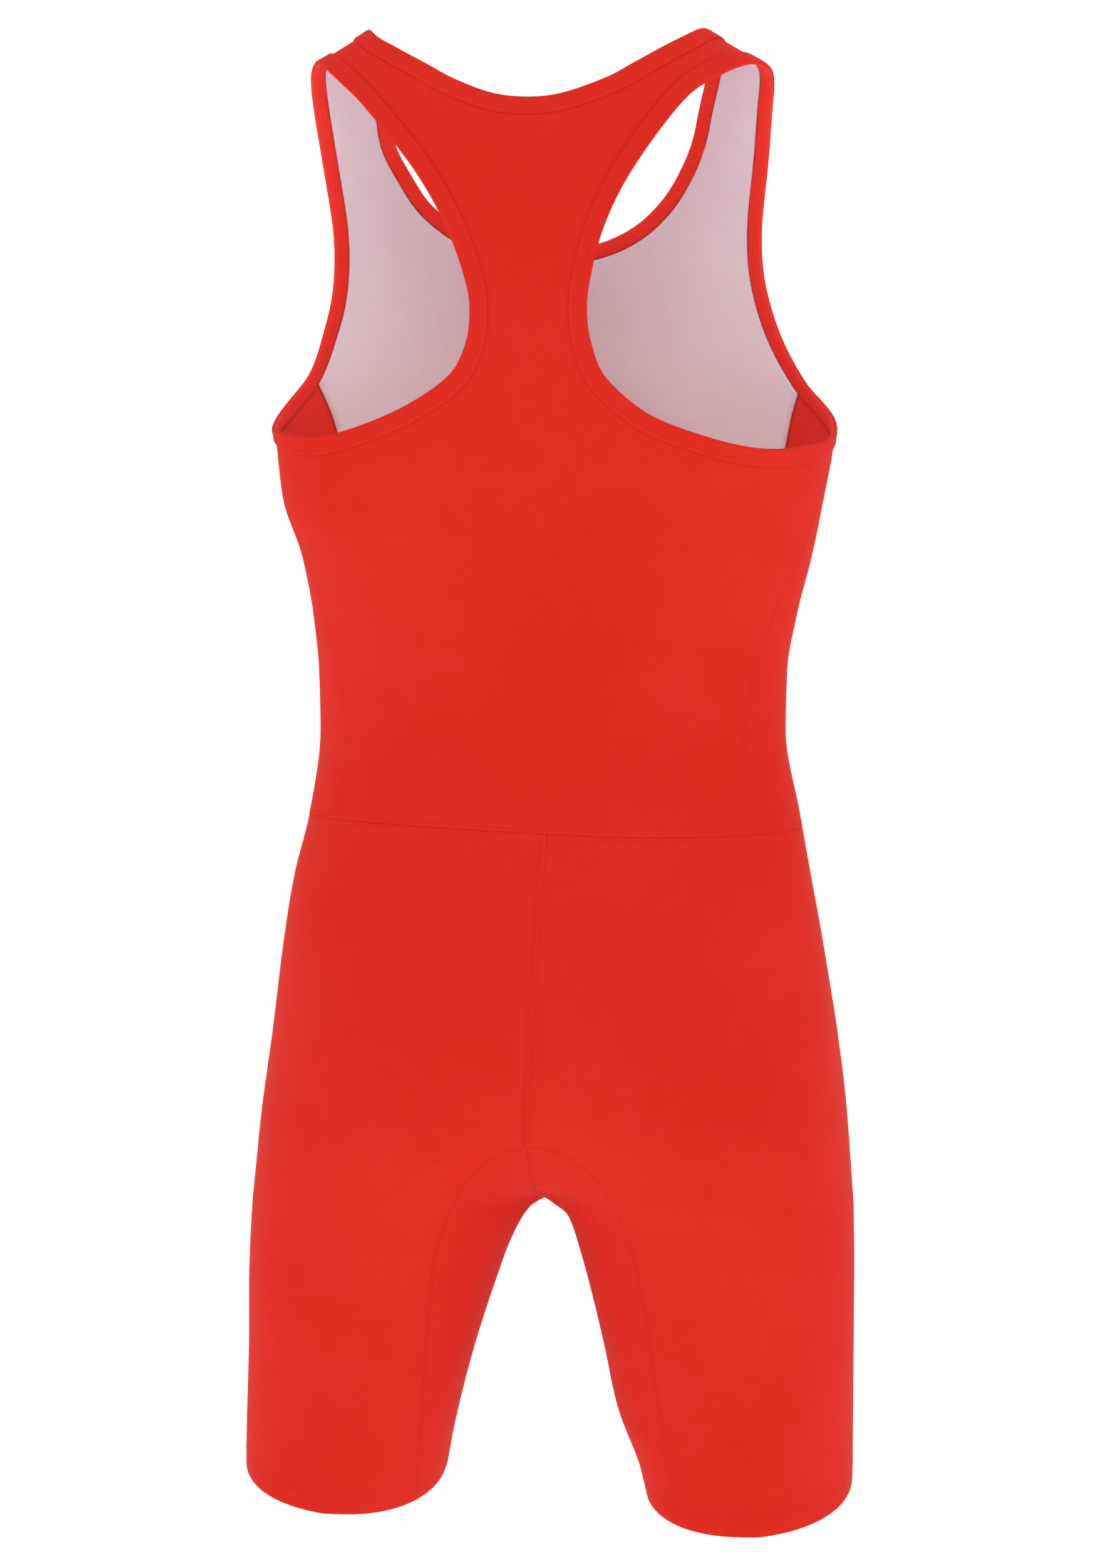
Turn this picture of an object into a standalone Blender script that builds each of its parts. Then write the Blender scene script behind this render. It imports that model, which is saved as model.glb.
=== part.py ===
"""A sleeveless one-piece running suit with a racer back, as the pieces that it is sewn from.

The suit keeps the form that it has when it is worn, and it is empty inside.
Tables and helpers work in millimetres, and each mesh is turned into metres as it is made.
+X is the wearer's right, +Y is the way the wearer faces and +Z is up.
The origin lies between the two shoulder straps, where the wearer's shoulders hold the suit up.
"""
import math
from bisect import bisect_right
from collections import namedtuple

import bmesh
import bpy
from mathutils import Vector

MM = 0.001
BACK, FRONT = -1, 1
LEFT, RIGHT = -1, 1
SIDE_NAMES = {LEFT: "left", RIGHT: "right"}

# Cloth, in millimetres
WALL = 1.0              # one layer of knit
GAP = 0.3               # between pieces, at a seam or layer on layer
BAND = 11.0             # a binding's leaf on the outside
BAND_INSIDE = 8.8       # its leaf on the inside
EDGE = WALL + GAP       # how far a bound panel stops short of the finished edge
LINING_STOP = 9.4       # how far the lining stops short of the finished edge
FOLD = 0.7              # a binding's folded edge is eased this much
HEM_DEPTH = 14.5        # the turned hem of each leg
HEM_WALL = 2.0          # its two layers

# The shape of a level section and of the shoulders
POWER = 2.3             # 2 would be an ellipse, and more is squarer
ROUND = 2.2             # the same for the arch of the back and chest over a shoulder
ARCH_LOW = -190.0       # the level where that arch starts
CLEFT = 27.0            # how softly the two legs run into each other at the centre
RIDGE_TOP = 12.0        # the shoulder line at the neck side of a strap
RIDGE_OUT = 102.0       # how far from the centre that is
RIDGE_SLOPE = 0.58      # how fast the shoulder line falls outwards
RIDGE_BEND = 60.0       # inside this distance the line rounds off towards the neck
SHOULDER_LEAN = -5.0    # the shoulders stand a little to the left of the crotch

# Levels of the main seams and ends
WAIST = -463.0          # at the left side
WAIST_DROP = 6.8        # how much lower the waist seam lies at the right side
DROP_FROM, DROP_TO = -130.0, 100.0
ARCH_TOP = -653.0       # where the inner leg pieces start at the centre back and front
CROTCH = -705.0
HEM = {LEFT: -885.5, RIGHT: -894.0}
HEM_RISE = 6.5          # how much higher each hem is at the side line
RISE_FROM = 135.0       # the place across where it starts to rise
RISE_OVER = 90.0        # the height above the hem over which the rise fades away

# The form, level by level.  left and right are half widths from the centre plane, crest is how
# far out the back and front are deepest, fork is 0 on the trunk and 1 where the legs have parted,
# middle is the y of the side line, front and back are depths from it, and tilt is how much a
# section slopes, because the thighs lean forward.
Section = namedtuple("Section", "level left right crest fork middle front back tilt")
SECTIONS = [
    Section(40, 184, 176, 0, 0, 0, 80, 84, 0),
    Section(0, 184, 176, 0, 0, 0, 84, 90, 0),
    Section(-60, 184, 176, 0, 0, 0, 91, 97, 0),
    Section(-120, 183, 177, 0, 0, 0, 98, 102, 0),
    Section(-180, 175, 180, 0, 0, 0, 104, 104, 0),
    Section(-235, 164.5, 176.5, 0, 0, 0, 106, 101, 0),
    Section(-270, 160.5, 170.5, 0, 0, 0, 105, 95, 0),
    Section(-305, 149, 163.5, 0, 0, 0, 102, 89, 0),
    Section(-340, 142.5, 154.8, 0, 0, 0, 99, 83, 0),
    Section(-375, 139.2, 149, 0, 0, 0, 97, 79, 0),
    Section(-410, 138.5, 148.3, 0, 0, 0, 96, 77, 0),
    Section(-463, 145.5, 157.5, 0, 0, 0, 96, 84, 0),
    Section(-500, 154.8, 164.3, 0, 0, 0, 96, 94, 0),
    Section(-540, 161.5, 171.8, 2, 0, 0, 95, 106, 0),
    Section(-600, 168.8, 181.8, 45, 0.13, 0, 93, 117, 0),
    Section(-643, 174.9, 187.3, 70, 0.44, 0, 90, 114, 0),
    Section(-680, 179.4, 190.3, 85, 0.79, 1, 87, 104, 0),
    Section(-697, 181.5, 191.6, 91.3, 0.975, 1.7, 85.6, 98, 0),
    Section(-705, 182.4, 192.2, 94, 1, 2, 85, 95, 0),
    Section(-756, 186.6, 193, 109, 1, 10, 82, 86, 0.05),
    Section(-795, 188.4, 193, 115, 1, 17, 79, 80, 0.1),
    Section(-874, 193.4, 193, 126, 1, 32, 74, 75, 0.175),
    Section(-910, 194.4, 192.5, 129, 1, 38, 73, 74, 0.175),
]

# The inner side line of each leg, as a distance from the centre plane.
Inner = namedtuple("Inner", "level left right")
INNER_LINE = [
    Inner(-705, 0, 0),
    Inner(-706, 4, 8.5),
    Inner(-708, 7, 11.6),
    Inner(-712, 10.4, 14.2),
    Inner(-718, 14.4, 17),
    Inner(-737, 23.5, 22.6),
    Inner(-756, 30.3, 27.4),
    Inner(-795, 43.2, 36),
    Inner(-834, 54.2, 43.5),
    Inner(-874, 63.4, 57.5),
    Inner(-910, 69.5, 65),
]

# The side seams, as a share of the half width, on the back and on the front.
SideSeam = namedtuple("SideSeam", "level back front")
SIDE_SEAMS = [
    SideSeam(-190, 1.0, 0.885),
    SideSeam(-225, 1.0, 0.84),
    SideSeam(-260, 0.992, 0.825),
    SideSeam(-300, 0.962, 0.82),
    SideSeam(-340, 0.915, 0.82),
    SideSeam(-380, 0.87, 0.82),
    SideSeam(-420, 0.84, 0.825),
    SideSeam(-463, 0.835, 0.83),
]

# The centre back seam of the legs wanders a little to the right above the seat.
CentreSeam = namedtuple("CentreSeam", "level back front")
CENTRE_SEAM = [
    CentreSeam(-463, 9, 0),
    CentreSeam(-523, 6, 0),
    CentreSeam(-566, 4, 0),
    CentreSeam(-653, 0, 0),
]

# The arched seam between a leg and its inner piece, as seen from the back.
ArchPoint = namedtuple("ArchPoint", "left right level")
ARCH_SEAM = [
    ArchPoint(0, 0, -653),
    ArchPoint(14, 16, -656),
    ArchPoint(27, 30, -664),
    ArchPoint(40, 43, -679),
    ArchPoint(49, 51, -697),
    ArchPoint(60, 61, -730),
    ArchPoint(65, 67, -765),
    ArchPoint(71, 73, -815),
    ArchPoint(79, 84, -890),
]

# The finished edge of an armhole, over the shoulder, down the back, under the arm and up the
# front.  A row that names a line lies on it, and its distance is worked out.
EdgePoint = namedtuple("EdgePoint", "face left left_level right right_level line")
ARMHOLE = [
    EdgePoint(BACK, 141, 0, 135, 0, "shoulder"),
    EdgePoint(BACK, 116, -24, 108, -19, ""),
    EdgePoint(BACK, 98, -42, 88, -35, ""),
    EdgePoint(BACK, 69, -77, 59, -77, ""),
    EdgePoint(BACK, 49, -111, 43, -111, ""),
    EdgePoint(BACK, 37, -144, 35, -144, ""),
    EdgePoint(BACK, 35, -163, 34, -163, ""),
    EdgePoint(BACK, 38, -180, 37, -180, ""),
    EdgePoint(BACK, 48, -197, 45, -198, ""),
    EdgePoint(BACK, 75, -214.5, 69, -218.5, ""),
    EdgePoint(BACK, 107, -227, 100, -231, ""),
    EdgePoint(BACK, 133, -232.5, 131, -238.5, ""),
    EdgePoint(BACK, 152, -230, 158, -238, ""),
    EdgePoint(BACK, 0, -223, 0, -229, "back"),
    EdgePoint(FRONT, 163, -209, 170, -212, ""),
    EdgePoint(FRONT, 0, -191, 0, -197, "front"),
    EdgePoint(FRONT, 145, -163, 142.5, -170, ""),
    EdgePoint(FRONT, 140, -137, 132.5, -138, ""),
    EdgePoint(FRONT, 139, -105, 130, -105, ""),
    EdgePoint(FRONT, 143, -66, 134, -66, ""),
    EdgePoint(FRONT, 146, -33, 137, -33, ""),
]

# The finished edge of the neck from the centre back over a shoulder to the centre front.
NECK = [
    EdgePoint(BACK, 2, -34, -2, -34, "centre back"),
    EdgePoint(BACK, 24, -31.5, 18, -31.5, ""),
    EdgePoint(BACK, 47, -22.5, 42, -22.5, ""),
    EdgePoint(BACK, 64, -13, 58, -13, ""),
    EdgePoint(BACK, 81, -3.5, 73, -3.5, ""),
    EdgePoint(BACK, 97, 6, 88, 6, ""),
    EdgePoint(BACK, 107, 0, 99, 0, "shoulder"),
    EdgePoint(FRONT, 103, -24, 93, -24, ""),
    EdgePoint(FRONT, 100, -48, 87, -48, ""),
    EdgePoint(FRONT, 91.5, -66.5, 79, -66, ""),
    EdgePoint(FRONT, 79, -86, 67, -84, ""),
    EdgePoint(FRONT, 58.5, -102, 49, -100, ""),
    EdgePoint(FRONT, 37, -110.5, 25, -110.5, ""),
    EdgePoint(FRONT, 6.5, -115, -6.5, -115, "centre front"),
]

# How many faces run along each edge and across each panel
SEAM_ROWS = 8           # side seams, waist to armhole
BACK_ROWS = 20          # an armhole's edge on the back
TURN_ROWS = 6           # the part of those from the side seam to where the edge turns up
SIDE_ROWS = 4           # on the side piece
FRONT_ROWS = 11         # on the front
NECK_BACK_ROWS = 8      # the neck's edge, centre back to a shoulder
NECK_FRONT_ROWS = 9     # a shoulder to the centre front
BACK_ACROSS = 4         # half of the back, between its bands
FRONT_ACROSS = 6        # half of the front
BACK_TURN = -252.0      # the level on the centre line that faces the turn of the armholes
SEAT_ROWS = 7           # a leg between the waist and the top of the arched seam
ARCH_ROWS = 10          # along the arched seam
LEG_ACROSS = 20         # a leg piece, centre back round to centre front
INNER_ACROSS = 10       # an inner leg piece
DENSE = 40              # points of a line before it is spaced evenly
PER_KEY = 10            # points of an edge from one row of its table to the next

# Colours as they look, from 0 to 1, and roughness
RED = (0.745, 0.028, 0.017)
LINING_PINK = (0.64, 0.455, 0.504)
ROUGH = 0.62


def slopes(levels, values):
    """Slopes of a smooth curve through the values that never overshoots them."""
    steps = [(b - a) / (q - p) for a, b, p, q in zip(values, values[1:], levels, levels[1:])]
    inner = [2 * a * b / (a + b) if a * b > 0 else 0.0 for a, b in zip(steps, steps[1:])]
    return [steps[0], *inner, steps[-1]]


class Table:
    """Reads a table of named columns at any level, smoothly between its rows."""

    def __init__(self, rows):
        self.kind = type(rows[0])
        rows = sorted(rows, key=lambda row: row.level)
        self.levels = [row.level for row in rows]
        self.columns = [[float(row[i]) for row in rows] for i in range(len(rows[0]))]
        self.slopes = [slopes(self.levels, column) for column in self.columns]

    def at(self, level):
        """The table's row at a level."""
        level = min(max(level, self.levels[0]), self.levels[-1])
        i = min(bisect_right(self.levels, level) - 1, len(self.levels) - 2)
        span = self.levels[i + 1] - self.levels[i]
        t = (level - self.levels[i]) / span
        near, far = (1 + 2 * t) * (1 - t) ** 2, t * t * (3 - 2 * t)
        rise, fall = t * (1 - t) ** 2 * span, t * t * (t - 1) * span
        return self.kind(*(
            near * v[i] + far * v[i + 1] + rise * s[i] + fall * s[i + 1]
            for v, s in zip(self.columns, self.slopes)
        ))


FORM = Table(SECTIONS)
INNER = Table(INNER_LINE)
SEAMS = Table(SIDE_SEAMS)
CENTRE = Table(CENTRE_SEAM)
ARCH = Table(ARCH_SEAM)


def ridge(x):
    """The height of the shoulder line at x."""
    out = abs(x - SHOULDER_LEAN)
    if out < RIDGE_BEND:
        out = (out ** 2 + RIDGE_BEND ** 2) / (2 * RIDGE_BEND)
    return RIDGE_TOP - RIDGE_SLOPE * (out - RIDGE_OUT)


def half_width(side, level):
    """How far the side line lies from the centre plane."""
    section = FORM.at(level)
    return section.left if side == LEFT else section.right


def shares(x, level):
    """How far x is from the crest to the side line, and a height in the shoulder's arch, each 0 to 1."""
    section, inner = FORM.at(level), INNER.at(level)
    side = LEFT if x < 0 else RIGHT
    outer, gap = (section.left, inner.left) if side == LEFT else (section.right, inner.right)
    cleft = min(CLEFT, section.crest)
    reach = math.hypot(x, cleft)
    if reach >= section.crest:
        share = (reach - section.crest) / (math.hypot(outer, cleft) - section.crest)
    else:
        share = section.fork * (section.crest - reach) / (section.crest - math.hypot(gap, cleft))
    rise = (level - ARCH_LOW) / (ridge(x) - ARCH_LOW) if level > ARCH_LOW else 0.0
    return section, share, rise


def drape(x, level, face):
    """The point of the form at x on its back or front."""
    section, share, rise = shares(x, level)
    rest = max(0.0, 1 - share ** POWER) * max(0.0, 1 - min(rise, 1.0) ** ROUND)
    depth = section.front if face == FRONT else section.back
    away = face * depth * rest ** (1 / POWER)
    return Vector((x, section.middle + away, level + section.tilt * away))


def field(point):
    """Below 0 inside the form, above 0 outside it and 0 on it."""
    section = FORM.at(point.z)
    level = point.z - section.tilt * (point.y - section.middle)
    section, share, rise = shares(point.x, level)
    away = point.y - section.middle
    depth = section.front if away > 0 else section.back
    return share ** POWER + abs(away / depth) ** POWER + (1 - share ** POWER) * rise ** ROUND - 1


def slope_of_field(point, step=0.05):
    """The direction in which the field grows, and how fast."""
    axes = (Vector((step, 0, 0)), Vector((0, step, 0)), Vector((0, 0, step)))
    return Vector([(field(point + axis) - field(point - axis)) / (2 * step) for axis in axes])


def normal(point):
    """The direction straight out of the form at a point of it."""
    return slope_of_field(point).normalized()


def settle(point):
    """The point moved onto the form."""
    for _ in range(5):
        way = slope_of_field(point)
        point = point - way * (field(point) / way.length_squared)
    return point


def lengths_to(points):
    """The length of a line up to each of its points."""
    lengths = [0.0]
    for a, b in zip(points, points[1:]):
        lengths.append(lengths[-1] + (b - a).length)
    return lengths


def spaced(points, shares_along):
    """The points at some shares of the length of a line."""
    lengths = lengths_to(points)
    return [along(points, lengths, lengths[-1] * share) for share in shares_along]


def even(points, count):
    """The line through the points, cut into count equal lengths."""
    return spaced(points, [i / count for i in range(count + 1)])


def along(points, lengths, length):
    """The point at a length along a line."""
    i = min(max(bisect_right(lengths, length) - 1, 0), len(points) - 2)
    t = (length - lengths[i]) / (lengths[i + 1] - lengths[i])
    return points[i].lerp(points[i + 1], min(max(t, 0.0), 1.0))


def straight(start, end, face):
    """Many points of a line that looks straight from the back, laid on the form."""
    points = []
    for i in range(DENSE + 1):
        t = (1 - math.cos(math.pi * i / DENSE)) / 2
        points.append(drape(start[0] + t * (end[0] - start[0]), start[1] + t * (end[1] - start[1]), face))
    return points


def round_the_side(side, back, middle_level, front):
    """A line from a place on the back round the side line to one on the front."""
    turn = (side * half_width(side, middle_level), middle_level)
    return straight(back, turn, BACK) + straight(turn, front, FRONT)[1:]


def spline(keys):
    """A smooth closed line through the key points, laid on the form, and where each key is in it."""
    line, at = [], []
    for i in range(len(keys)):
        p = [keys[(i + step) % len(keys)] for step in (-1, 0, 1, 2)]
        at.append(len(line))
        for step in range(PER_KEY):
            t = step / PER_KEY
            bend = p[0] * (-t + 2 * t * t - t ** 3) + p[1] * (2 - 5 * t * t + 3 * t ** 3)
            bend += p[2] * (t + 4 * t * t - 3 * t ** 3) + p[3] * (t ** 3 - t * t)
            line.append(settle(bend / 2))
    return line + line[:1], at


def key_point(row, side):
    """A row of an edge table as a point of the form."""
    out, level = (row.left, row.left_level) if side == LEFT else (row.right, row.right_level)
    if row.line == "shoulder":
        return Vector((side * out, 0, ridge(side * out)))
    if row.line in ("back", "front"):
        out = getattr(SEAMS.at(level), row.line) * half_width(side, level)
    return drape(side * out, level, row.face)


class Edge:
    """A finished edge: its points, the way into the cloth at each and the way out of the form."""

    def __init__(self, points, turn, seam_ways):
        self.points = points
        self.out = [normal(point) for point in points]
        self.inward = []
        for i, point in enumerate(points):
            run = points[(i + 1) % len(points)] - points[i - 1]
            way = seam_ways.get(i) or run.cross(self.out[i]) * turn
            self.inward.append(way.normalized())
        self.band = [settle(point + way * BAND) for point, way in zip(points, self.inward)]
        self.band_out = [normal(point) for point in self.band]

    def at(self, row, distance, lift=0.0):
        """A point in from the edge at a row, lifted out of the cloth."""
        row %= len(self.points)
        share = distance / BAND
        out = self.out[row].lerp(self.band_out[row], share).normalized()
        return self.points[row].lerp(self.band[row], share) + out * lift

    def line(self, first, last, distance):
        """The points at a distance in from the edge, from one row to another."""
        step = 1 if last >= first else -1
        return [self.at(row, distance) for row in range(first, last + step, step)]


def seam_point(side, line, level):
    """A point of a side seam."""
    out = getattr(SEAMS.at(level), line) * half_width(side, level)
    return drape(side * out, level, BACK if line == "back" else FRONT)


def ridge_way(x, step):
    """The way along the shoulder line from x."""
    return Vector((step, 0, ridge(x + step) - ridge(x)))


def armhole_edge(side):
    """An armhole's finished edge, from the shoulder down the back, under the arm and up the front."""
    line, at = spline([key_point(row, side) for row in ARMHOLE])
    names = [row.line for row in ARMHOLE]
    corners = [0, at[names.index("back")], at[names.index("front")], len(line) - 1]
    points = []
    for start, end, rows in zip(corners, corners[1:], (BACK_ROWS, SIDE_ROWS, FRONT_ROWS)):
        points += even(line[start:end + 1], rows)[:-1]
    seam_ways = {0: ridge_way(points[0].x, -side * BAND)}
    for row, name in ((BACK_ROWS, "back"), (BACK_ROWS + SIDE_ROWS, "front")):
        seam_ways[row] = seam_point(side, name, points[row].z - BAND) - points[row]
    return Edge(points, side, seam_ways)


def neck_edge():
    """The neck's finished edge, from the centre back over the right shoulder and back over the left."""
    right = [key_point(row, RIGHT) for row in NECK]
    left = [key_point(row, LEFT) for row in reversed(NECK[1:-1])]
    line, at = spline(right + left)
    shoulder = [row.line for row in NECK].index("shoulder")
    middle = len(NECK) - 1
    corners = [0, at[shoulder], at[middle], at[2 * middle - shoulder], len(line) - 1]
    rows = (NECK_BACK_ROWS, NECK_FRONT_ROWS, NECK_FRONT_ROWS, NECK_BACK_ROWS)
    points = []
    for start, end, count in zip(corners, corners[1:], rows):
        points += even(line[start:end + 1], count)[:-1]
    right_row, left_row = NECK_BACK_ROWS, NECK_BACK_ROWS + 2 * NECK_FRONT_ROWS
    seam_ways = {
        right_row: ridge_way(points[right_row].x, BAND),
        left_row: ridge_way(points[left_row].x, -BAND),
    }
    return Edge(points, 1, seam_ways)


def fill(bottom, top, left, right):
    """Rows of points between four lines that meet at their ends, laid on the form."""
    rows = []
    for i in range(len(left)):
        up = i / (len(left) - 1)
        row = []
        for j in range(len(bottom)):
            over = j / (len(bottom) - 1)
            point = bottom[j].lerp(top[j], up) + left[i].lerp(right[i], over)
            point -= bottom[0].lerp(bottom[-1], over).lerp(top[0].lerp(top[-1], over), up)
            inside = 0 < i < len(left) - 1 and 0 < j < len(bottom) - 1
            row.append(settle(point) if inside else point)
        rows.append(row)
    return rows


def patch(bm, rows):
    """A sheet of triangles through rows of points, always cut along the same diagonal."""
    sheet = bmesh.ops.create_grid(bm, x_segments=len(rows[0]) - 1, y_segments=len(rows) - 1, size=1)
    faces = {face for vert in sheet["verts"] for face in vert.link_faces}
    for vert, point in zip(sheet["verts"], [point for row in rows for point in row]):
        vert.co = point
    bmesh.ops.triangulate(bm, faces=list(faces), quad_method="FIXED")


def finish(name, bm, colour):
    """Turns a closed mesh in millimetres into an object in metres with a material of its own."""
    bmesh.ops.recalc_face_normals(bm, faces=bm.faces)
    bmesh.ops.scale(bm, vec=(MM, MM, MM), verts=bm.verts)
    mesh = bpy.data.meshes.new(name)
    bm.to_mesh(mesh)
    bm.free()
    mesh.shade_smooth()
    mesh.set_sharp_from_angle(angle=math.radians(40))
    material = bpy.data.materials.new(name)
    material.use_nodes = True
    shader = material.node_tree.nodes["Principled BSDF"]
    shader.inputs["Base Color"].default_value = (*colour, 1)
    shader.inputs["Roughness"].default_value = ROUGH
    mesh.materials.append(material)
    piece = bpy.data.objects.new(name, mesh)
    bpy.data.collections["running_speedsuit"].objects.link(piece)


def draw_in(bm, by):
    """Moves a sheet's outline inwards, which leaves the gap to the piece that it is sewn to."""
    moves = {}
    for vert in bm.verts:
        ways = []
        for edge in (edge for edge in vert.link_edges if edge.is_boundary):
            face = edge.link_faces[0]
            across = face.normal.cross(edge.verts[1].co - edge.verts[0].co).normalized()
            inner = face.calc_center_median() - edge.verts[0].co
            ways.append(across if across.dot(inner) > 0 else -across)
        if ways:
            moves[vert] = (ways[0] + ways[1]) * (by / (1 + ways[0].dot(ways[1])))
    for vert, move in moves.items():
        vert.co += move


def cloth(name, patches, colour=RED, depth=0.0, wall=lambda point: WALL):
    """A piece of cloth: sheets on the form, joined, let in by depth and given their wall."""
    bm = bmesh.new()
    for rows in patches:
        patch(bm, rows)
    bmesh.ops.remove_doubles(bm, verts=bm.verts, dist=0.02)
    bm.normal_update()
    walls = {vert: wall(vert.co) for vert in bm.verts}
    out = {vert: normal(vert.co) for vert in bm.verts}
    draw_in(bm, GAP / 2)
    inner_of = {}
    for vert in bm.verts:
        vert.co -= out[vert] * depth
        inner_of[tuple(vert.co)] = vert.co - out[vert] * walls[vert]
    raised = bmesh.ops.extrude_face_region(bm, geom=bm.faces[:])["geom"]
    for vert in (item for item in raised if isinstance(item, bmesh.types.BMVert)):
        vert.co = inner_of[tuple(vert.co)]
    finish(name, bm, colour)


def binding(name, edge):
    """A binding folded over an edge, with a leaf on each side of the cloth."""
    under = WALL + GAP
    section = [
        (BAND, EDGE), (FOLD, EDGE), (0, EDGE - FOLD), (0, FOLD - under - WALL), (FOLD, -under - WALL),
        (BAND_INSIDE, -under - WALL), (BAND_INSIDE, -under), (WALL, -under), (WALL, GAP), (BAND, GAP),
    ]
    bm = bmesh.new()
    for places in zip(section, section[1:] + section[:1]):
        patch(bm, [[edge.at(row, *place) for row in range(len(edge.points) + 1)] for place in sorted(places)])
    bmesh.ops.remove_doubles(bm, verts=bm.verts, dist=0.02)
    finish(name, bm, RED)


def waist_level(x):
    """The level of the waist seam at x."""
    t = min(max((x - DROP_FROM) / (DROP_TO - DROP_FROM), 0.0), 1.0)
    return WAIST - WAIST_DROP * t * t * (3 - 2 * t)


def waist_line(start, end, face):
    """Many points of the waist seam between two places across."""
    places = [start + (end - start) * (1 - math.cos(math.pi * i / DENSE)) / 2 for i in range(DENSE + 1)]
    return [drape(x, waist_level(x), face) for x in places]


def waist(side):
    """Half of the waist seam, as its lines on the back, under the arm and on the front."""
    level = waist_level(side * half_width(side, WAIST))
    seam, behind, ahead = CENTRE.at(WAIST), seam_point(side, "back", level), seam_point(side, "front", level)
    back = waist_line(seam.back, behind.x, BACK)
    under = round_the_side(side, (behind.x, level), level, (ahead.x, level))
    front = waist_line(ahead.x, seam.front, FRONT)
    return even(back, BACK_ACROSS + TURN_ROWS), even(under, SIDE_ROWS), even(front, FRONT_ACROSS)


def seam_line(side, line, top):
    """A side seam's points from the waist up to the armhole's band."""
    low = waist_level(side * half_width(side, WAIST))
    levels = [low + (top.z - low) * row / SEAM_ROWS for row in range(SEAM_ROWS)]
    return [seam_point(side, line, level) for level in levels] + [top]


def centre_line(face, top, low, high, count):
    """Points up the centre of the back or front, from one level to another."""
    foot = CENTRE.at(WAIST).back if face == BACK else CENTRE.at(WAIST).front
    base = waist_level(foot)
    levels = [low + (high - low) * row / count for row in range(count + 1)]
    return [drape(foot + (top.x - foot) * (level - base) / (top.z - base), level, face) for level in levels]


def across(start, end, face, count):
    """An even line from one point of the form to another."""
    return even(straight((start.x, start.z), (end.x, end.z), face), count)


def strip(edge, first, last, stop):
    """The strip of a panel that its binding covers."""
    first, last = sorted((first, last))
    return [edge.line(first, last, stop), edge.line(first, last, BAND)]


def neck_rows(side, first, last):
    """Rows of the neck's edge on one side, counted from the centre back."""
    return (first, last) if side == RIGHT else (-first, -last)


def back_patches(holes, neck, stop):
    """The sheets of the back, with each half's bound edges."""
    patches = []
    for side in (LEFT, RIGHT):
        band = holes[side].line(BACK_ROWS, 0, BAND)
        rows = neck_rows(side, 0, NECK_BACK_ROWS)
        neck_line = neck.line(*rows, BAND)
        top, turn = neck_line[0], band[TURN_ROWS]
        low = centre_line(BACK, top, waist_level(CENTRE.at(WAIST).back), BACK_TURN, SEAM_ROWS)
        high = centre_line(BACK, top, BACK_TURN, top.z, BACK_ROWS - TURN_ROWS - NECK_BACK_ROWS)
        middle = across(turn, low[-1], BACK, BACK_ACROSS)
        shoulder = across(band[-1], neck_line[-1], BACK, BACK_ACROSS)
        seam = seam_line(side, "back", band[0])
        patches.append(fill(waist(side)[0][::-1], band[:TURN_ROWS] + middle, seam, low))
        patches.append(fill(middle, shoulder, band[TURN_ROWS:], high[:-1] + neck_line))
        patches.append(strip(holes[side], 0, BACK_ROWS, stop))
        patches.append(strip(neck, *rows, stop))
    return patches


def front_patches(holes, neck, stop):
    """The sheets of the front or its lining, with each half's bound edges."""
    patches = []
    corner, middle = BACK_ROWS + SIDE_ROWS, NECK_BACK_ROWS + NECK_FRONT_ROWS
    for side in (LEFT, RIGHT):
        band = holes[side].line(corner, corner + FRONT_ROWS, BAND)
        rows = neck_rows(side, middle, NECK_BACK_ROWS)
        neck_line = neck.line(*rows, BAND)
        top = neck_line[0]
        low = waist_level(CENTRE.at(WAIST).front)
        centre = centre_line(FRONT, top, low, top.z, SEAM_ROWS + FRONT_ROWS - NECK_FRONT_ROWS)
        shoulder = across(band[-1], neck_line[-1], FRONT, FRONT_ACROSS)
        seam = seam_line(side, "front", band[0])
        patches.append(fill(waist(side)[2], shoulder, seam[:-1] + band, centre[:-1] + neck_line))
        patches.append(strip(holes[side], corner, corner + FRONT_ROWS, stop))
        patches.append(strip(neck, *rows, stop))
    return patches


def side_patches(side, hole):
    """The narrow piece under an arm."""
    corner = BACK_ROWS + SIDE_ROWS
    band = hole.line(BACK_ROWS, corner, BAND)
    back, front = seam_line(side, "back", band[0]), seam_line(side, "front", band[-1])
    rows = [waist(side)[1]]
    for behind, ahead in list(zip(back, front))[1:-1]:
        level = (behind.z + ahead.z) / 2
        line = round_the_side(side, (behind.x, behind.z), level, (ahead.x, ahead.z))
        rows.append(even(line, SIDE_ROWS))
    return [rows + [band], strip(hole, BACK_ROWS, corner, EDGE)]


def arch_places(side):
    """Places down the arched seam to the hem, with two more for the turned hem."""
    hem_top = HEM[side] + HEM_DEPTH
    column = SIDE_NAMES[side]
    count = 10 * ARCH_ROWS
    levels = [ARCH_TOP + (hem_top + WALL - ARCH_TOP) * i / count for i in range(count + 1)]
    line = even([Vector((getattr(ARCH.at(level), column), 0, level)) for level in levels], ARCH_ROWS)
    places = [(side * point.x, point.z) for point in line]
    return places + [(side * getattr(ARCH.at(level), column), level) for level in (hem_top, HEM[side])]


def spread_levels(side, top):
    """Levels that face the places of the arched seam, from a top level to the hem."""
    hem_top = HEM[side] + HEM_DEPTH
    levels = [top + (hem_top + WALL - top) * row / ARCH_ROWS for row in range(ARCH_ROWS + 1)]
    return levels + [hem_top, HEM[side]]


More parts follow.
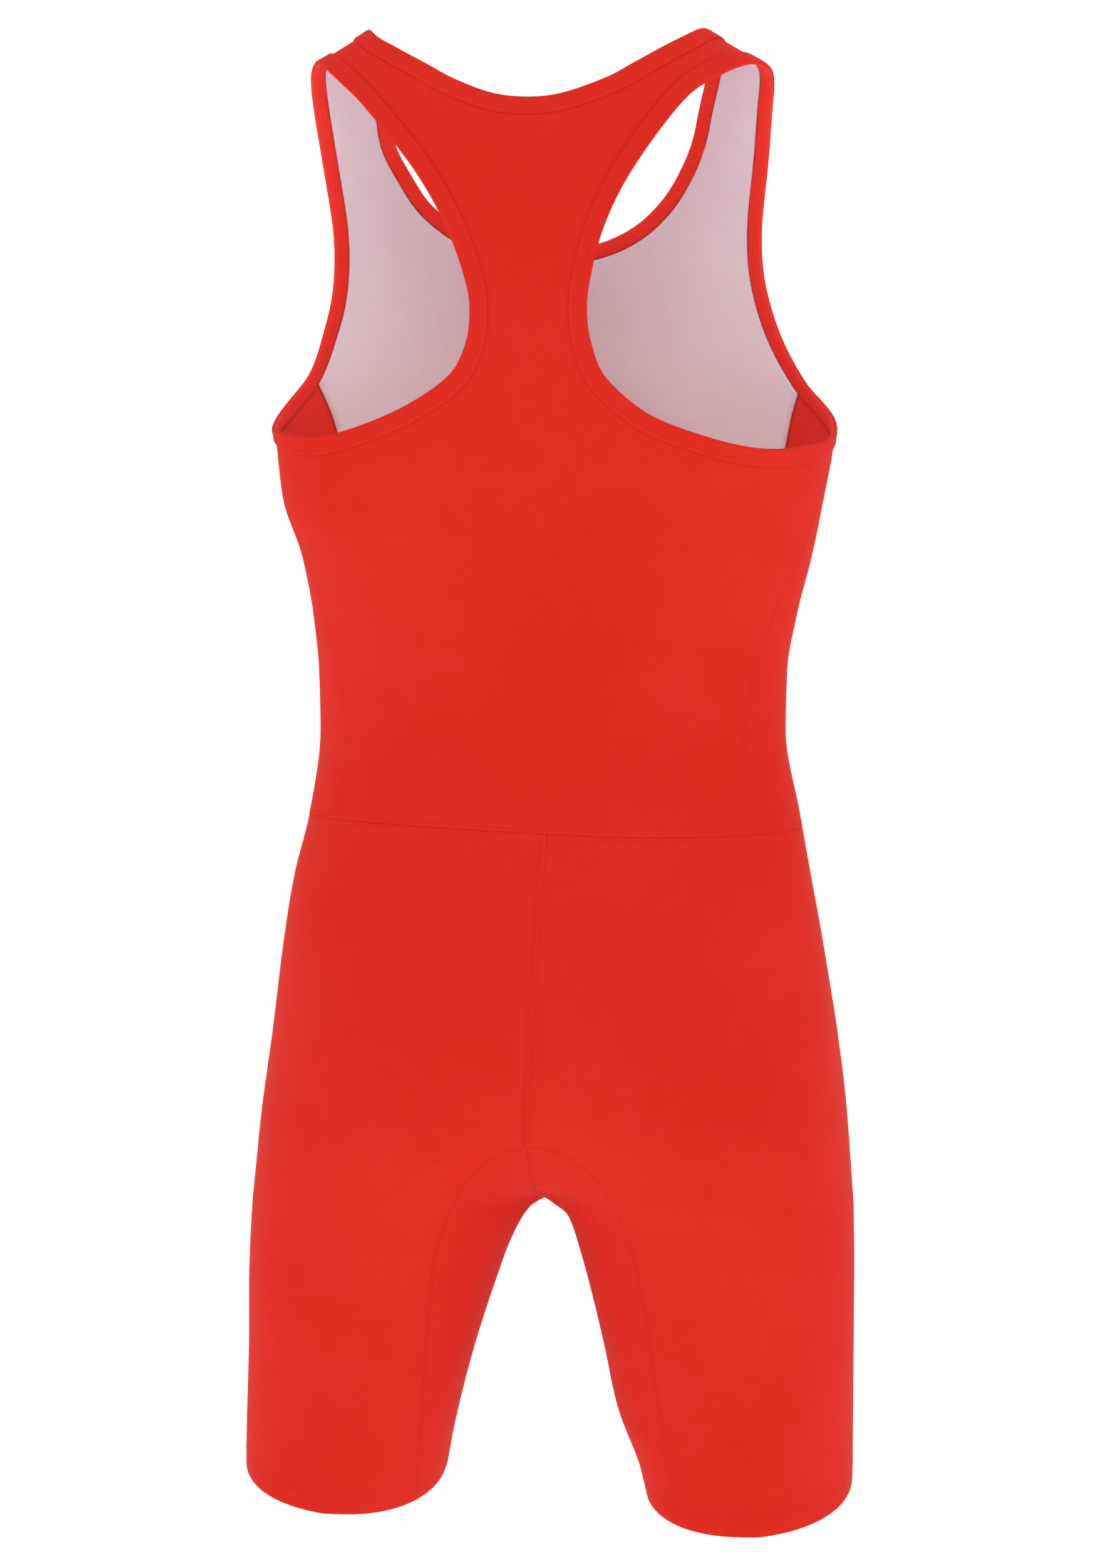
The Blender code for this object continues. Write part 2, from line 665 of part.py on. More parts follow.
def rise_share(side, x, level):
    """How much of its rise a hem has at a place across."""
    return max(0.0, (abs(x) - RISE_FROM) / (half_width(side, level) - RISE_FROM))


def lift_hem(side, point):
    """Raises a point of a leg as its hem rises towards the outside."""
    share = rise_share(side, point.x, point.z)
    down = min(1 - (point.z - HEM[side]) / RISE_OVER, 1.0)
    if share == 0 or down <= 0:
        return point
    return settle(point + Vector((0, 0, HEM_RISE * share * down)))


def leg_rows(side):
    """A leg piece, from the centre back round the outside to the centre front."""
    back, under, front = waist(side)
    rows = [back + under[1:] + front[1:]]
    lengths = lengths_to(rows[0])
    for row in range(1, SEAT_ROWS):
        down = row / SEAT_ROWS
        level = WAIST + (ARCH_TOP - WAIST) * down
        seam = CENTRE.at(level)
        shares_along = [
            (1 - down) * length / lengths[-1] + down * column / LEG_ACROSS
            for column, length in enumerate(lengths)
        ]
        line = round_the_side(side, (seam.back, level), level, (seam.front, level))
        rows.append(spaced(line, shares_along))
    for place, level in zip(arch_places(side), spread_levels(side, ARCH_TOP), strict=True):
        line = even(round_the_side(side, place, level, place), LEG_ACROSS)
        rows.append([lift_hem(side, point) for point in line])
    return rows


def inner_leg_rows(side):
    """An inner leg piece, from the crotch seam down to the hem."""
    rows = []
    for place, level in zip(arch_places(side), spread_levels(side, CROTCH), strict=True):
        turn = (side * getattr(INNER.at(level), SIDE_NAMES[side]), level)
        line = straight(place, turn, BACK) + straight(turn, place, FRONT)[1:]
        rows.append(even(line, INNER_ACROSS))
    return rows


def hem_wall(side):
    """The wall of a leg, which is double in its turned hem."""
    def wall(point):
        section = FORM.at(point.z)
        level = point.z - section.tilt * (point.y - section.middle)
        top = HEM[side] + HEM_DEPTH + WALL / 2 + HEM_RISE * rise_share(side, point.x, level)
        return HEM_WALL if level < top else WALL
    return wall


def main():
    """Makes every piece of the suit."""
    for old in list(bpy.data.objects):
        bpy.data.objects.remove(old, do_unlink=True)
    collection = bpy.data.collections.new("running_speedsuit")
    bpy.context.scene.collection.children.link(collection)

    neck = neck_edge()
    holes = {side: armhole_edge(side) for side in (LEFT, RIGHT)}
    cloth("back", back_patches(holes, neck, EDGE))
    cloth("front", front_patches(holes, neck, EDGE))
    cloth("front_lining", front_patches(holes, neck, LINING_STOP), LINING_PINK, depth=WALL + GAP)
    binding("neck_binding", neck)
    for side in (LEFT, RIGHT):
        name = SIDE_NAMES[side]
        cloth("side_" + name, side_patches(side, holes[side]))
        binding("armhole_binding_" + name, holes[side])
        cloth("leg_" + name, [leg_rows(side)], wall=hem_wall(side))
        cloth("inner_leg_" + name, [inner_leg_rows(side)], wall=hem_wall(side))


main()
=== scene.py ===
"""The look of a sleeveless running suit with a racer back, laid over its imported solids.

Every panel is cut again from the form that the solids have, but finely, and gets its knit,
its eased seams, its folded bindings and its rows of stitches.  Lengths are in millimetres
until a piece is finished, and in metres from then on.
"""
import logging
import math
from bisect import bisect_right
from dataclasses import dataclass, field
from enum import Enum, IntEnum
from functools import partial
from typing import Callable, Iterable, NamedTuple, Sequence

import bmesh
import bpy
from mathutils import Matrix, Vector, noise


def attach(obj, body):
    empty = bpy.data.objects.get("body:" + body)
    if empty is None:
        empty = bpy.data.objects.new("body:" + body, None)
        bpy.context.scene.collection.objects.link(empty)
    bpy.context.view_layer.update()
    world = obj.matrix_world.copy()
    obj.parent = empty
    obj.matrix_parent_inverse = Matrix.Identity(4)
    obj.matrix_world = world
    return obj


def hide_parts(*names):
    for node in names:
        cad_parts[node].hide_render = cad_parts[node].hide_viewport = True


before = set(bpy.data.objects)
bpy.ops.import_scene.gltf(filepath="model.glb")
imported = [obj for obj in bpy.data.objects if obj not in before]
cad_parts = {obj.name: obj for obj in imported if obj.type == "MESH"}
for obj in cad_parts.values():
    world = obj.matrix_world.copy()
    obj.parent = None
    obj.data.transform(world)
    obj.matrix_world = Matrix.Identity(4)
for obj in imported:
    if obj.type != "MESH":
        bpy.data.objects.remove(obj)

LOG = logging.getLogger("speedsuit")
MM = 0.001
Line = list[Vector]
Rows = list[Line]
Triple = tuple[float, float, float]


class Face(IntEnum):
    """The two faces of the form, as the sign of y."""

    BACK = -1
    FRONT = 1

    def of(self, row: NamedTuple) -> float:
        """This face's value in a row that has a back and a front one."""
        return row.back if self is Face.BACK else row.front


class Side(IntEnum):
    """The wearer's two sides, as the sign of x."""

    LEFT = -1
    RIGHT = 1

    @property
    def word(self) -> str:
        """The side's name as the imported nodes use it."""
        return self.name.lower()

    def of(self, row: NamedTuple) -> float:
        """This side's value in a row that has a left and a right one."""
        return row.left if self is Side.LEFT else row.right


class Lay(Enum):
    """How the threads of a row of stitches lie."""

    ALONG = "along the seam"
    ACROSS = "across the seam, as on a flat seam"


class Slot(Enum):
    """The record's material slots."""

    RED = "red_knit"
    LINING = "lining_knit"


class Section(NamedTuple):
    """A level section of the form: half widths, where it is deepest, and its depths."""

    level: float
    left: float
    right: float
    crest: float
    fork: float
    middle: float
    front: float
    back: float
    tilt: float


class Sides(NamedTuple):
    """How far a line lies from the centre plane on each side."""

    level: float
    left: float
    right: float


class Faces(NamedTuple):
    """Where a seam lies on each face, across or as a share of the half width."""

    level: float
    back: float
    front: float


class EdgePoint(NamedTuple):
    """A point of a finished edge on both sides; a named line has its distance worked out."""

    face: Face
    left: float
    left_level: float
    right: float
    right_level: float
    line: str = ""


class Table:
    """Reads a table of named columns at any level, smoothly between its rows."""

    def __init__(self, rows: Sequence[NamedTuple]) -> None:
        """Sorts the rows by level and works out the slopes between them.

        Args:
            rows: rows of one kind, each with a level.
        """
        self.kind = type(rows[0])
        rows = sorted(rows, key=lambda row: row.level)
        self.levels = [row.level for row in rows]
        self.columns = [[float(row[i]) for row in rows] for i in range(len(rows[0]))]
        self.slopes = [self._slopes(column) for column in self.columns]
        self.known: dict[float, NamedTuple] = {}

    def _slopes(self, values: Sequence[float]) -> list[float]:
        """Slopes of a curve through the values that never overshoots them.

        Args:
            values: one column of the table.

        Returns:
            One slope for each value.
        """
        places = zip(values, values[1:], self.levels, self.levels[1:])
        steps = [(b - a) / (q - p) for a, b, p, q in places]
        inner = [2 * a * b / (a + b) if a * b > 0 else 0.0 for a, b in zip(steps, steps[1:])]
        return [steps[0], *inner, steps[-1]]

    def at(self, level: float) -> NamedTuple:
        """The table's row at a level.

        Args:
            level: the height, which may lie past the table's ends.

        Returns:
            A row of the table's own kind.
        """
        if level not in self.known:
            self.known[level] = self._between(min(max(level, self.levels[0]), self.levels[-1]))
        return self.known[level]

    def _between(self, level: float) -> NamedTuple:
        """Works out a row by the cubic curve through the rows below and above it.

        Args:
            level: a height inside the table.

        Returns:
            The row.
        """
        i = min(bisect_right(self.levels, level) - 1, len(self.levels) - 2)
        span = self.levels[i + 1] - self.levels[i]
        t = (level - self.levels[i]) / span
        near, far = (1 + 2 * t) * (1 - t) ** 2, t * t * (3 - 2 * t)
        rise, fall = t * (1 - t) ** 2 * span, t * t * (t - 1) * span
        return self.kind(*(
            near * v[i] + far * v[i + 1] + rise * s[i] + fall * s[i + 1]
            for v, s in zip(self.columns, self.slopes)
        ))


def lengths_to(points: Line) -> list[float]:
    """The length of a line up to each of its points.

    Args:
        points: the line.

    Returns:
        One length for each point.
    """
    lengths = [0.0]
    for a, b in zip(points, points[1:]):
        lengths.append(lengths[-1] + (b - a).length)
    return lengths


def along(points: Line, lengths: list[float], length: float) -> Vector:
    """The point at a length along a line.

    Args:
        points: the line.
        lengths: the length up to each of its points.
        length: how far along.

    Returns:
        The point.
    """
    i = min(max(bisect_right(lengths, length) - 1, 0), len(points) - 2)
    t = (length - lengths[i]) / max(lengths[i + 1] - lengths[i], 1e-9)
    return points[i].lerp(points[i + 1], min(max(t, 0.0), 1.0))


def spaced(points: Line, shares: Iterable[float]) -> Line:
    """The points at some shares, from 0 to 1, of the length of a line."""
    lengths = lengths_to(points)
    return [along(points, lengths, lengths[-1] * share) for share in shares]


def even(points: Line, count: int) -> Line:
    """The line through the points, cut into count equal lengths."""
    return spaced(points, [i / count for i in range(count + 1)])


def eased(count: int) -> list[float]:
    """Shares from 0 to 1, in count steps that get shorter towards both ends."""
    return [(1 - math.cos(math.pi * i / count)) / 2 for i in range(count + 1)]


def inside_of(rows: Rows, distance: float) -> Line:
    """The line at a distance in from the seam on which all the rows start."""
    return [along(row, lengths_to(row), distance) for row in rows]


def turned(rows: Rows) -> Rows:
    """The columns of a sheet as rows."""
    return [list(column) for column in zip(*rows)]


def reversed_rows(rows: Rows) -> Rows:
    """A sheet with each row from its other end."""
    return [row[::-1] for row in rows]


@dataclass
class Form:
    """The filled-out form that the cloth lies on, in millimetres."""

    power: float = 2.3
    arch: float = 2.2
    arch_low: float = -190.0
    cleft: float = 27.0
    ridge_top: float = 12.0
    ridge_out: float = 102.0
    ridge_slope: float = 0.58
    ridge_bend: float = 60.0
    lean: float = -5.0
    waist: float = -463.0
    waist_drop: float = 6.8
    drop_from: float = -130.0
    drop_to: float = 100.0
    arch_top: float = -653.0
    crotch: float = -705.0
    hems: dict[Side, float] = field(
        default_factory=lambda: {Side.LEFT: -885.5, Side.RIGHT: -894.0}
    )
    hem_rise: float = 6.5
    rise_from: float = 135.0
    rise_over: float = 90.0
    dense: int = 110

    def __post_init__(self) -> None:
        """Sets out the tables of the form and of its seams, as seen from the back."""
        self.sections = Table([
            Section(40, 184, 176, 0, 0, 0, 80, 84, 0),
            Section(0, 184, 176, 0, 0, 0, 84, 90, 0),
            Section(-60, 184, 176, 0, 0, 0, 91, 97, 0),
            Section(-120, 183, 177, 0, 0, 0, 98, 102, 0),
            Section(-180, 175, 180, 0, 0, 0, 104, 104, 0),
            Section(-235, 164.5, 176.5, 0, 0, 0, 106, 101, 0),
            Section(-270, 160.5, 170.5, 0, 0, 0, 105, 95, 0),
            Section(-305, 149, 163.5, 0, 0, 0, 102, 89, 0),
            Section(-340, 142.5, 154.8, 0, 0, 0, 99, 83, 0),
            Section(-375, 139.2, 149, 0, 0, 0, 97, 79, 0),
            Section(-410, 138.5, 148.3, 0, 0, 0, 96, 77, 0),
            Section(-463, 145.5, 157.5, 0, 0, 0, 96, 84, 0),
            Section(-500, 154.8, 164.3, 0, 0, 0, 96, 94, 0),
            Section(-540, 161.5, 171.8, 2, 0, 0, 95, 106, 0),
            Section(-600, 168.8, 181.8, 45, 0.13, 0, 93, 117, 0),
            Section(-643, 174.9, 187.3, 70, 0.44, 0, 90, 114, 0),
            Section(-680, 179.4, 190.3, 85, 0.79, 1, 87, 104, 0),
            Section(-697, 181.5, 191.6, 91.3, 0.975, 1.7, 85.6, 98, 0),
            Section(-705, 182.4, 192.2, 94, 1, 2, 85, 95, 0),
            Section(-756, 186.6, 193, 109, 1, 10, 82, 86, 0.05),
            Section(-795, 188.4, 193, 115, 1, 17, 79, 80, 0.1),
            Section(-874, 193.4, 193, 126, 1, 32, 74, 75, 0.175),
            Section(-910, 194.4, 192.5, 129, 1, 38, 73, 74, 0.175),
        ])
        self.inner = Table([
            Sides(-705, 0, 0), Sides(-706, 4, 8.5), Sides(-708, 7, 11.6), Sides(-712, 10.4, 14.2),
            Sides(-718, 14.4, 17), Sides(-737, 23.5, 22.6), Sides(-756, 30.3, 27.4),
            Sides(-795, 43.2, 36), Sides(-834, 54.2, 43.5), Sides(-874, 63.4, 57.5),
            Sides(-910, 69.5, 65),
        ])
        self.arch_seam = Table([
            Sides(-653, 0, 0), Sides(-656, 14, 16), Sides(-664, 27, 30), Sides(-679, 40, 43),
            Sides(-697, 49, 51), Sides(-730, 60, 61), Sides(-765, 65, 67), Sides(-815, 71, 73),
            Sides(-890, 79, 84),
        ])
        self.side_seams = Table([
            Faces(-190, 1.0, 0.885), Faces(-225, 1.0, 0.84), Faces(-260, 0.992, 0.825),
            Faces(-300, 0.962, 0.82), Faces(-340, 0.915, 0.82), Faces(-380, 0.87, 0.82),
            Faces(-420, 0.84, 0.825), Faces(-463, 0.835, 0.83),
        ])
        self.centre_seam = Table([
            Faces(-463, 9, 0), Faces(-523, 6, 0), Faces(-566, 4, 0), Faces(-653, 0, 0),
        ])

    def ridge(self, x: float) -> float:
        """The height of the shoulder line.

        Args:
            x: the place across.

        Returns:
            Its height there.
        """
        out = abs(x - self.lean)
        if out < self.ridge_bend:
            out = (out ** 2 + self.ridge_bend ** 2) / (2 * self.ridge_bend)
        return self.ridge_top - self.ridge_slope * (out - self.ridge_out)

    def half_width(self, side: Side, level: float) -> float:
        """How far the side line lies from the centre plane."""
        return side.of(self.sections.at(level))

    def shares(self, x: float, level: float) -> tuple[Section, float, float]:
        """How far x is from the crest to the side line, and a height in the shoulder's arch.

        Args:
            x: the place across.
            level: the height.

        Returns:
            The section, and both shares from 0 to 1.
        """
        section, inner = self.sections.at(level), self.inner.at(level)
        outer, gap = (section.left, inner.left) if x < 0 else (section.right, inner.right)
        cleft = min(self.cleft, section.crest)
        reach = math.hypot(x, cleft)
        if reach >= section.crest:
            share = (reach - section.crest) / (math.hypot(outer, cleft) - section.crest)
        else:
            share = section.fork * (section.crest - reach) / (section.crest - math.hypot(gap, cleft))
        rise = 0.0
        if level > self.arch_low:
            rise = (level - self.arch_low) / (self.ridge(x) - self.arch_low)
        return section, share, rise

    def drape(self, x: float, level: float, face: Face) -> Vector:
        """The point of the form at a place on one face.

        Args:
            x: the place across.
            level: the height, measured on the section's middle.
            face: back or front.

        Returns:
            The point.
        """
        section, share, rise = self.shares(x, level)
        rest = max(0.0, 1 - share ** self.power) * max(0.0, 1 - min(rise, 1.0) ** self.arch)
        away = face * face.of(section) * rest ** (1 / self.power)
        return Vector((x, section.middle + away, level + section.tilt * away))

    def value(self, point: Vector) -> float:
        """Tells on which side of the form a point lies, and roughly how far.

        Args:
            point: where.

        Returns:
            A value below 0 inside the form, above 0 outside it and 0 on it.
        """
        section = self.sections.at(point.z)
        level = point.z - section.tilt * (point.y - section.middle)
        section, share, rise = self.shares(point.x, level)
        away = point.y - section.middle
        depth = section.front if away > 0 else section.back
        across = share ** self.power
        return across + abs(away / depth) ** self.power + (1 - across) * rise ** self.arch - 1

    def steepest(self, point: Vector, value: float, step: float = 0.02) -> Vector:
        """The slope of the value at a point where it is known, measured over a short step."""
        axes = (Vector((step, 0, 0)), Vector((0, step, 0)), Vector((0, 0, step)))
        return Vector([(self.value(point + axis) - value) / step for axis in axes])

    def normal(self, point: Vector) -> Vector:
        """The direction straight out of the form at a point of it."""
        return self.steepest(point, self.value(point)).normalized()

    def settle(self, point: Vector, turns: int = 4) -> Vector:
        """The point moved onto the form.

        Args:
            point: a point near the form.
            turns: how often it is corrected.

        Returns:
            The point on the form.
        """
        for _ in range(turns):
            value = self.value(point)
            if abs(value) < 1e-6:
                break
            way = self.steepest(point, value)
            point = point - way * (value / way.length_squared)
        return point

    def straight(self, start: tuple[float, float], end: tuple[float, float], face: Face) -> Line:
        """Many points of a line that looks straight from the back, laid on the form.

        Args:
            start: its first place across and level.
            end: its last.
            face: back or front.

        Returns:
            The line.
        """
        return [
            self.drape(start[0] + t * (end[0] - start[0]), start[1] + t * (end[1] - start[1]), face)
            for t in eased(self.dense)
        ]

    def across(self, start: Vector, end: Vector, face: Face, count: int) -> Line:
        """An even line from one point of the form to another, straight as seen from the back."""
        return even(self.straight((start.x, start.z), (end.x, end.z), face), count)

    def round_the_side(
        self, side: Side, back: tuple[float, float], middle: float, front: tuple[float, float]
    ) -> Line:
        """A line from a place on the back round the side line, at a middle level, to the front."""
        turn = (side * self.half_width(side, middle), middle)
        return self.straight(back, turn, Face.BACK) + self.straight(turn, front, Face.FRONT)[1:]

    def rise_share(self, side: Side, x: float, level: float) -> float:
        """How much of its rise a hem has at a place across."""
        return max(0.0, (abs(x) - self.rise_from) / (self.half_width(side, level) - self.rise_from))

    def lift_hem(self, side: Side, point: Vector) -> Vector:
        """Raises a point of a leg as its hem rises towards the outside.

        Args:
            side: the wearer's side.
            point: a point of the form.

        Returns:
            The point, raised and still on the form.
        """
        share = self.rise_share(side, point.x, point.z)
        down = min(1 - (point.z - self.hems[side]) / self.rise_over, 1.0)
        if share == 0 or down <= 0:
            return point
        return self.settle(point + Vector((0, 0, self.hem_rise * share * down)))

    def waist_level(self, x: float) -> float:
        """The level of the waist seam at a place across."""
        t = min(max((x - self.drop_from) / (self.drop_to - self.drop_from), 0.0), 1.0)
        return self.waist - self.waist_drop * t * t * (3 - 2 * t)

    def waist_line(self, start: float, end: float, face: Face) -> Line:
        """Many points of the waist seam between two places across."""
        places = [start + (end - start) * t for t in eased(self.dense)]
        return [self.drape(x, self.waist_level(x), face) for x in places]

    def seam_point(self, side: Side, face: Face, level: float) -> Vector:
        """A point of a side seam.

        Args:
            side: the wearer's side.
            face: the seam to the back or to the front.
            level: the height.

        Returns:
            The point.
        """
        share = face.of(self.side_seams.at(level))
        return self.drape(side * share * self.half_width(side, level), level, face)


@dataclass
class Cloth:
    """The thicknesses and widths of the sewing, in millimetres."""

    wall: float = 1.0
    gap: float = 0.3
    band: float = 11.0
    band_inside: float = 8.8
    lining_stop: float = 9.4
    hem_depth: float = 14.5
    hem_wall: float = 2.0
    band_rows: tuple[float, float] = (5.2, 7.9)
    band_lift: float = 1.12
    looper_rows: tuple[float, float] = (4.6, 7.3)
    looper_lifts: tuple[float, float] = (-2.34, -2.0)
    hem_rows: tuple[float, float] = (0.6, 3.4)

    @property
    def edge(self) -> float:
        """How far a bound panel stops short of the finished edge."""
        return self.wall + self.gap


@dataclass
class Count:
    """How many faces run along each edge and across each panel."""

    seam: int = 44
    back: int = 72
    turn: int = 22
    side: int = 18
    front: int = 40
    neck_back: int = 30
    neck_front: int = 34
    back_across: int = 14
    front_across: int = 26
    seat: int = 34
    arch: int = 44
    inner: int = 34

    @property
    def waist_back(self) -> int:
        """Half of the waist seam's faces on the back."""
        return self.turn + self.back_across

    @property
    def leg(self) -> int:
        """A leg piece's faces from the centre back to the centre front."""
        return self.waist_back + self.side + self.front_across


class Edge:
    """A finished edge: its points, the way into the cloth at each and the way out of the form."""

    def __init__(
        self, form: Form, cloth: Cloth, points: Line, turn: int, seam_ways: dict[int, Vector],
        spread: int = 12,
    ) -> None:
        """Works out the two sides of the band along the edge.

        Args:
            form: the form that the edge lies on.
            cloth: the widths of the sewing.
            points: the closed edge, without its first point again.
            turn: 1 or -1, for which side of the run the cloth lies.
            seam_ways: the way along a seam where the edge crosses one, by row.
            spread: over how many rows the band turns towards such a seam.
        """
        self.cloth = cloth
        self.points = points
        self.out = [form.normal(point) for point in points]
        inward = []
        for i in range(len(points)):
            run = points[(i + 1) % len(points)] - points[i - 1]
            inward.append(run.cross(self.out[i]).normalized() * turn)
        for row, way in seam_ways.items():
            change = way.normalized() - inward[row]
            for i in range(-spread, spread + 1):
                near = (row + i) % len(points)
                inward[near] += change * math.cos(math.pi / 2 * i / (spread + 1)) ** 2
        self.band = [
            form.settle(point + way.normalized() * cloth.band) for point, way in zip(points, inward)
        ]
        self.band_out = [form.normal(point) for point in self.band]

    def at(self, row: int, distance: float, lift: float = 0.0) -> Vector:
        """A point in from the edge, lifted out of the cloth.

        Args:
            row: the place along the edge.
            distance: how far in.
            lift: how far out of the form.

        Returns:
            The point.
        """
        row, share = row % len(self.points), distance / self.cloth.band
        out = self.out[row].lerp(self.band_out[row], share).normalized()
        return self.points[row].lerp(self.band[row], share) + out * lift

    def line(self, first: int, last: int, distance: float) -> Line:
        """The points at a distance in from the edge, from one row to another."""
        step = 1 if last >= first else -1
        return [self.at(row, distance) for row in range(first, last + step, step)]

    def ring(self, distance: float, lift: float = 0.0) -> Line:
        """The closed line at a distance in from the edge."""
        return [self.at(row, distance, lift) for row in range(len(self.points) + 1)]


@dataclass
class Pattern:
    """Cuts the suit's panels, as rows of points on the form."""

    form: Form
    cloth: Cloth
    count: Count
    per_key: int = 16
    back_turn: float = -252.0

    def __post_init__(self) -> None:
        """Draws the finished edges of the armholes and the neck, and the waist seam.

        An armhole's rows run down the back and up the front, and the neck's from the centre back
        to the centre front.
        """
        self.armhole_rows = [
            EdgePoint(Face.BACK, 141, 0, 135, 0, "shoulder"), EdgePoint(Face.BACK, 116, -24, 108, -19),
            EdgePoint(Face.BACK, 98, -42, 88, -35), EdgePoint(Face.BACK, 69, -77, 59, -77),
            EdgePoint(Face.BACK, 49, -111, 43, -111), EdgePoint(Face.BACK, 37, -144, 35, -144),
            EdgePoint(Face.BACK, 35, -163, 34, -163), EdgePoint(Face.BACK, 38, -180, 37, -180),
            EdgePoint(Face.BACK, 48, -197, 45, -198), EdgePoint(Face.BACK, 75, -214.5, 69, -218.5),
            EdgePoint(Face.BACK, 107, -227, 100, -231), EdgePoint(Face.BACK, 133, -232.5, 131, -238.5),
            EdgePoint(Face.BACK, 152, -230, 158, -238), EdgePoint(Face.BACK, 0, -223, 0, -229, "back"),
            EdgePoint(Face.FRONT, 163, -209, 170, -212),
            EdgePoint(Face.FRONT, 0, -191, 0, -197, "front"),
            EdgePoint(Face.FRONT, 145, -163, 142.5, -170),
            EdgePoint(Face.FRONT, 140, -137, 132.5, -138), EdgePoint(Face.FRONT, 139, -105, 130, -105),
            EdgePoint(Face.FRONT, 143, -66, 134, -66), EdgePoint(Face.FRONT, 146, -33, 137, -33),
        ]
        self.neck_rows = [
            EdgePoint(Face.BACK, 2, -34, -2, -34), EdgePoint(Face.BACK, 24, -31.5, 18, -31.5),
            EdgePoint(Face.BACK, 47, -22.5, 42, -22.5),
            EdgePoint(Face.BACK, 64, -13, 58, -13), EdgePoint(Face.BACK, 81, -3.5, 73, -3.5),
            EdgePoint(Face.BACK, 97, 6, 88, 6), EdgePoint(Face.BACK, 107, 0, 99, 0, "shoulder"),
            EdgePoint(Face.FRONT, 103, -24, 93, -24), EdgePoint(Face.FRONT, 100, -48, 87, -48),
            EdgePoint(Face.FRONT, 91.5, -66.5, 79, -66), EdgePoint(Face.FRONT, 79, -86, 67, -84),
            EdgePoint(Face.FRONT, 58.5, -102, 49, -100), EdgePoint(Face.FRONT, 37, -110.5, 25, -110.5),
            EdgePoint(Face.FRONT, 6.5, -115, -6.5, -115),
        ]
        self.holes = {side: self._armhole(side) for side in Side}
        self.neck = self._neck()
        self.waists = {side: self._waist(side) for side in Side}

    def _key_point(self, row: EdgePoint, side: Side) -> Vector:
        """Lays a row of an edge table on the form.

        Args:
            row: the row.
            side: the wearer's side.

        Returns:
            The point.
        """
        out, level = side.of(row), row.left_level if side is Side.LEFT else row.right_level
        if row.line == "shoulder":
            return Vector((side * out, 0, self.form.ridge(side * out)))
        if row.line in ("back", "front"):
            return self.form.seam_point(side, row.face, level)
        return self.form.drape(side * out, level, row.face)

    def _spline(self, keys: Line) -> tuple[Line, list[int]]:
        """A smooth closed line through key points, laid on the form.

        Args:
            keys: the points that it passes through.

        Returns:
            The line, and where each key is in it.
        """
        line, at = [], []
        for i in range(len(keys)):
            p = [keys[(i + step) % len(keys)] for step in (-1, 0, 1, 2)]
            at.append(len(line))
            for step in range(self.per_key):
                t = step / self.per_key
                bend = p[0] * (-t + 2 * t * t - t ** 3) + p[1] * (2 - 5 * t * t + 3 * t ** 3)
                bend += p[2] * (t + 4 * t * t - 3 * t ** 3) + p[3] * (t ** 3 - t * t)
                line.append(self.form.settle(bend / 2))
        return line + line[:1], at

    def _ridge_way(self, x: float, step: float) -> Vector:
        """The way along the shoulder line from a place across."""
        return Vector((step, 0, self.form.ridge(x + step) - self.form.ridge(x)))

    def _pieces_of(self, line: Line, corners: Sequence[int], counts: Sequence[int]) -> Line:
        """Cuts a closed line into even steps between its corners.

        Args:
            line: the line, with its first point again at its end.
            corners: where its corners are, both ends included.
            counts: the number of steps after each corner.

        Returns:
            The points, without the first one again.
        """
        points: Line = []
        for start, end, rows in zip(corners, corners[1:], counts):
            points += even(line[start:end + 1], rows)[:-1]
        return [self.form.settle(point, 1) for point in points]

    def _armhole(self, side: Side) -> Edge:
        """Draws an armhole's edge, from the shoulder down the back and up the front.

        Args:
            side: the wearer's side.

        Returns:
            The finished edge.
        """
        line, at = self._spline([self._key_point(row, side) for row in self.armhole_rows])
        names = [row.line for row in self.armhole_rows]
        corners = [0, at[names.index("back")], at[names.index("front")], len(line) - 1]
        count, band = self.count, self.cloth.band
        points = self._pieces_of(line, corners, (count.back, count.side, count.front))
        ways = {0: self._ridge_way(points[0].x, -side * band)}
        for row, face in ((count.back, Face.BACK), (count.back + count.side, Face.FRONT)):
            ways[row] = self.form.seam_point(side, face, points[row].z - band) - points[row]
        return Edge(self.form, self.cloth, points, side, ways)

    def _neck(self) -> Edge:
        """Draws the neck's edge, from the centre back over the right shoulder and round.

        Returns:
            The finished edge.
        """
        right = [self._key_point(row, Side.RIGHT) for row in self.neck_rows]
        left = [self._key_point(row, Side.LEFT) for row in reversed(self.neck_rows[1:-1])]
        line, at = self._spline(right + left)
        shoulder = [row.line for row in self.neck_rows].index("shoulder")
        middle = len(self.neck_rows) - 1
        corners = [0, at[shoulder], at[middle], at[2 * middle - shoulder], len(line) - 1]
        behind, ahead = self.count.neck_back, self.count.neck_front
        points = self._pieces_of(line, corners, (behind, ahead, ahead, behind))
        rights, lefts = behind, behind + 2 * ahead
        ways = {
            rights: self._ridge_way(points[rights].x, self.cloth.band),
            lefts: self._ridge_way(points[lefts].x, -self.cloth.band),
        }
        return Edge(self.form, self.cloth, points, 1, ways)

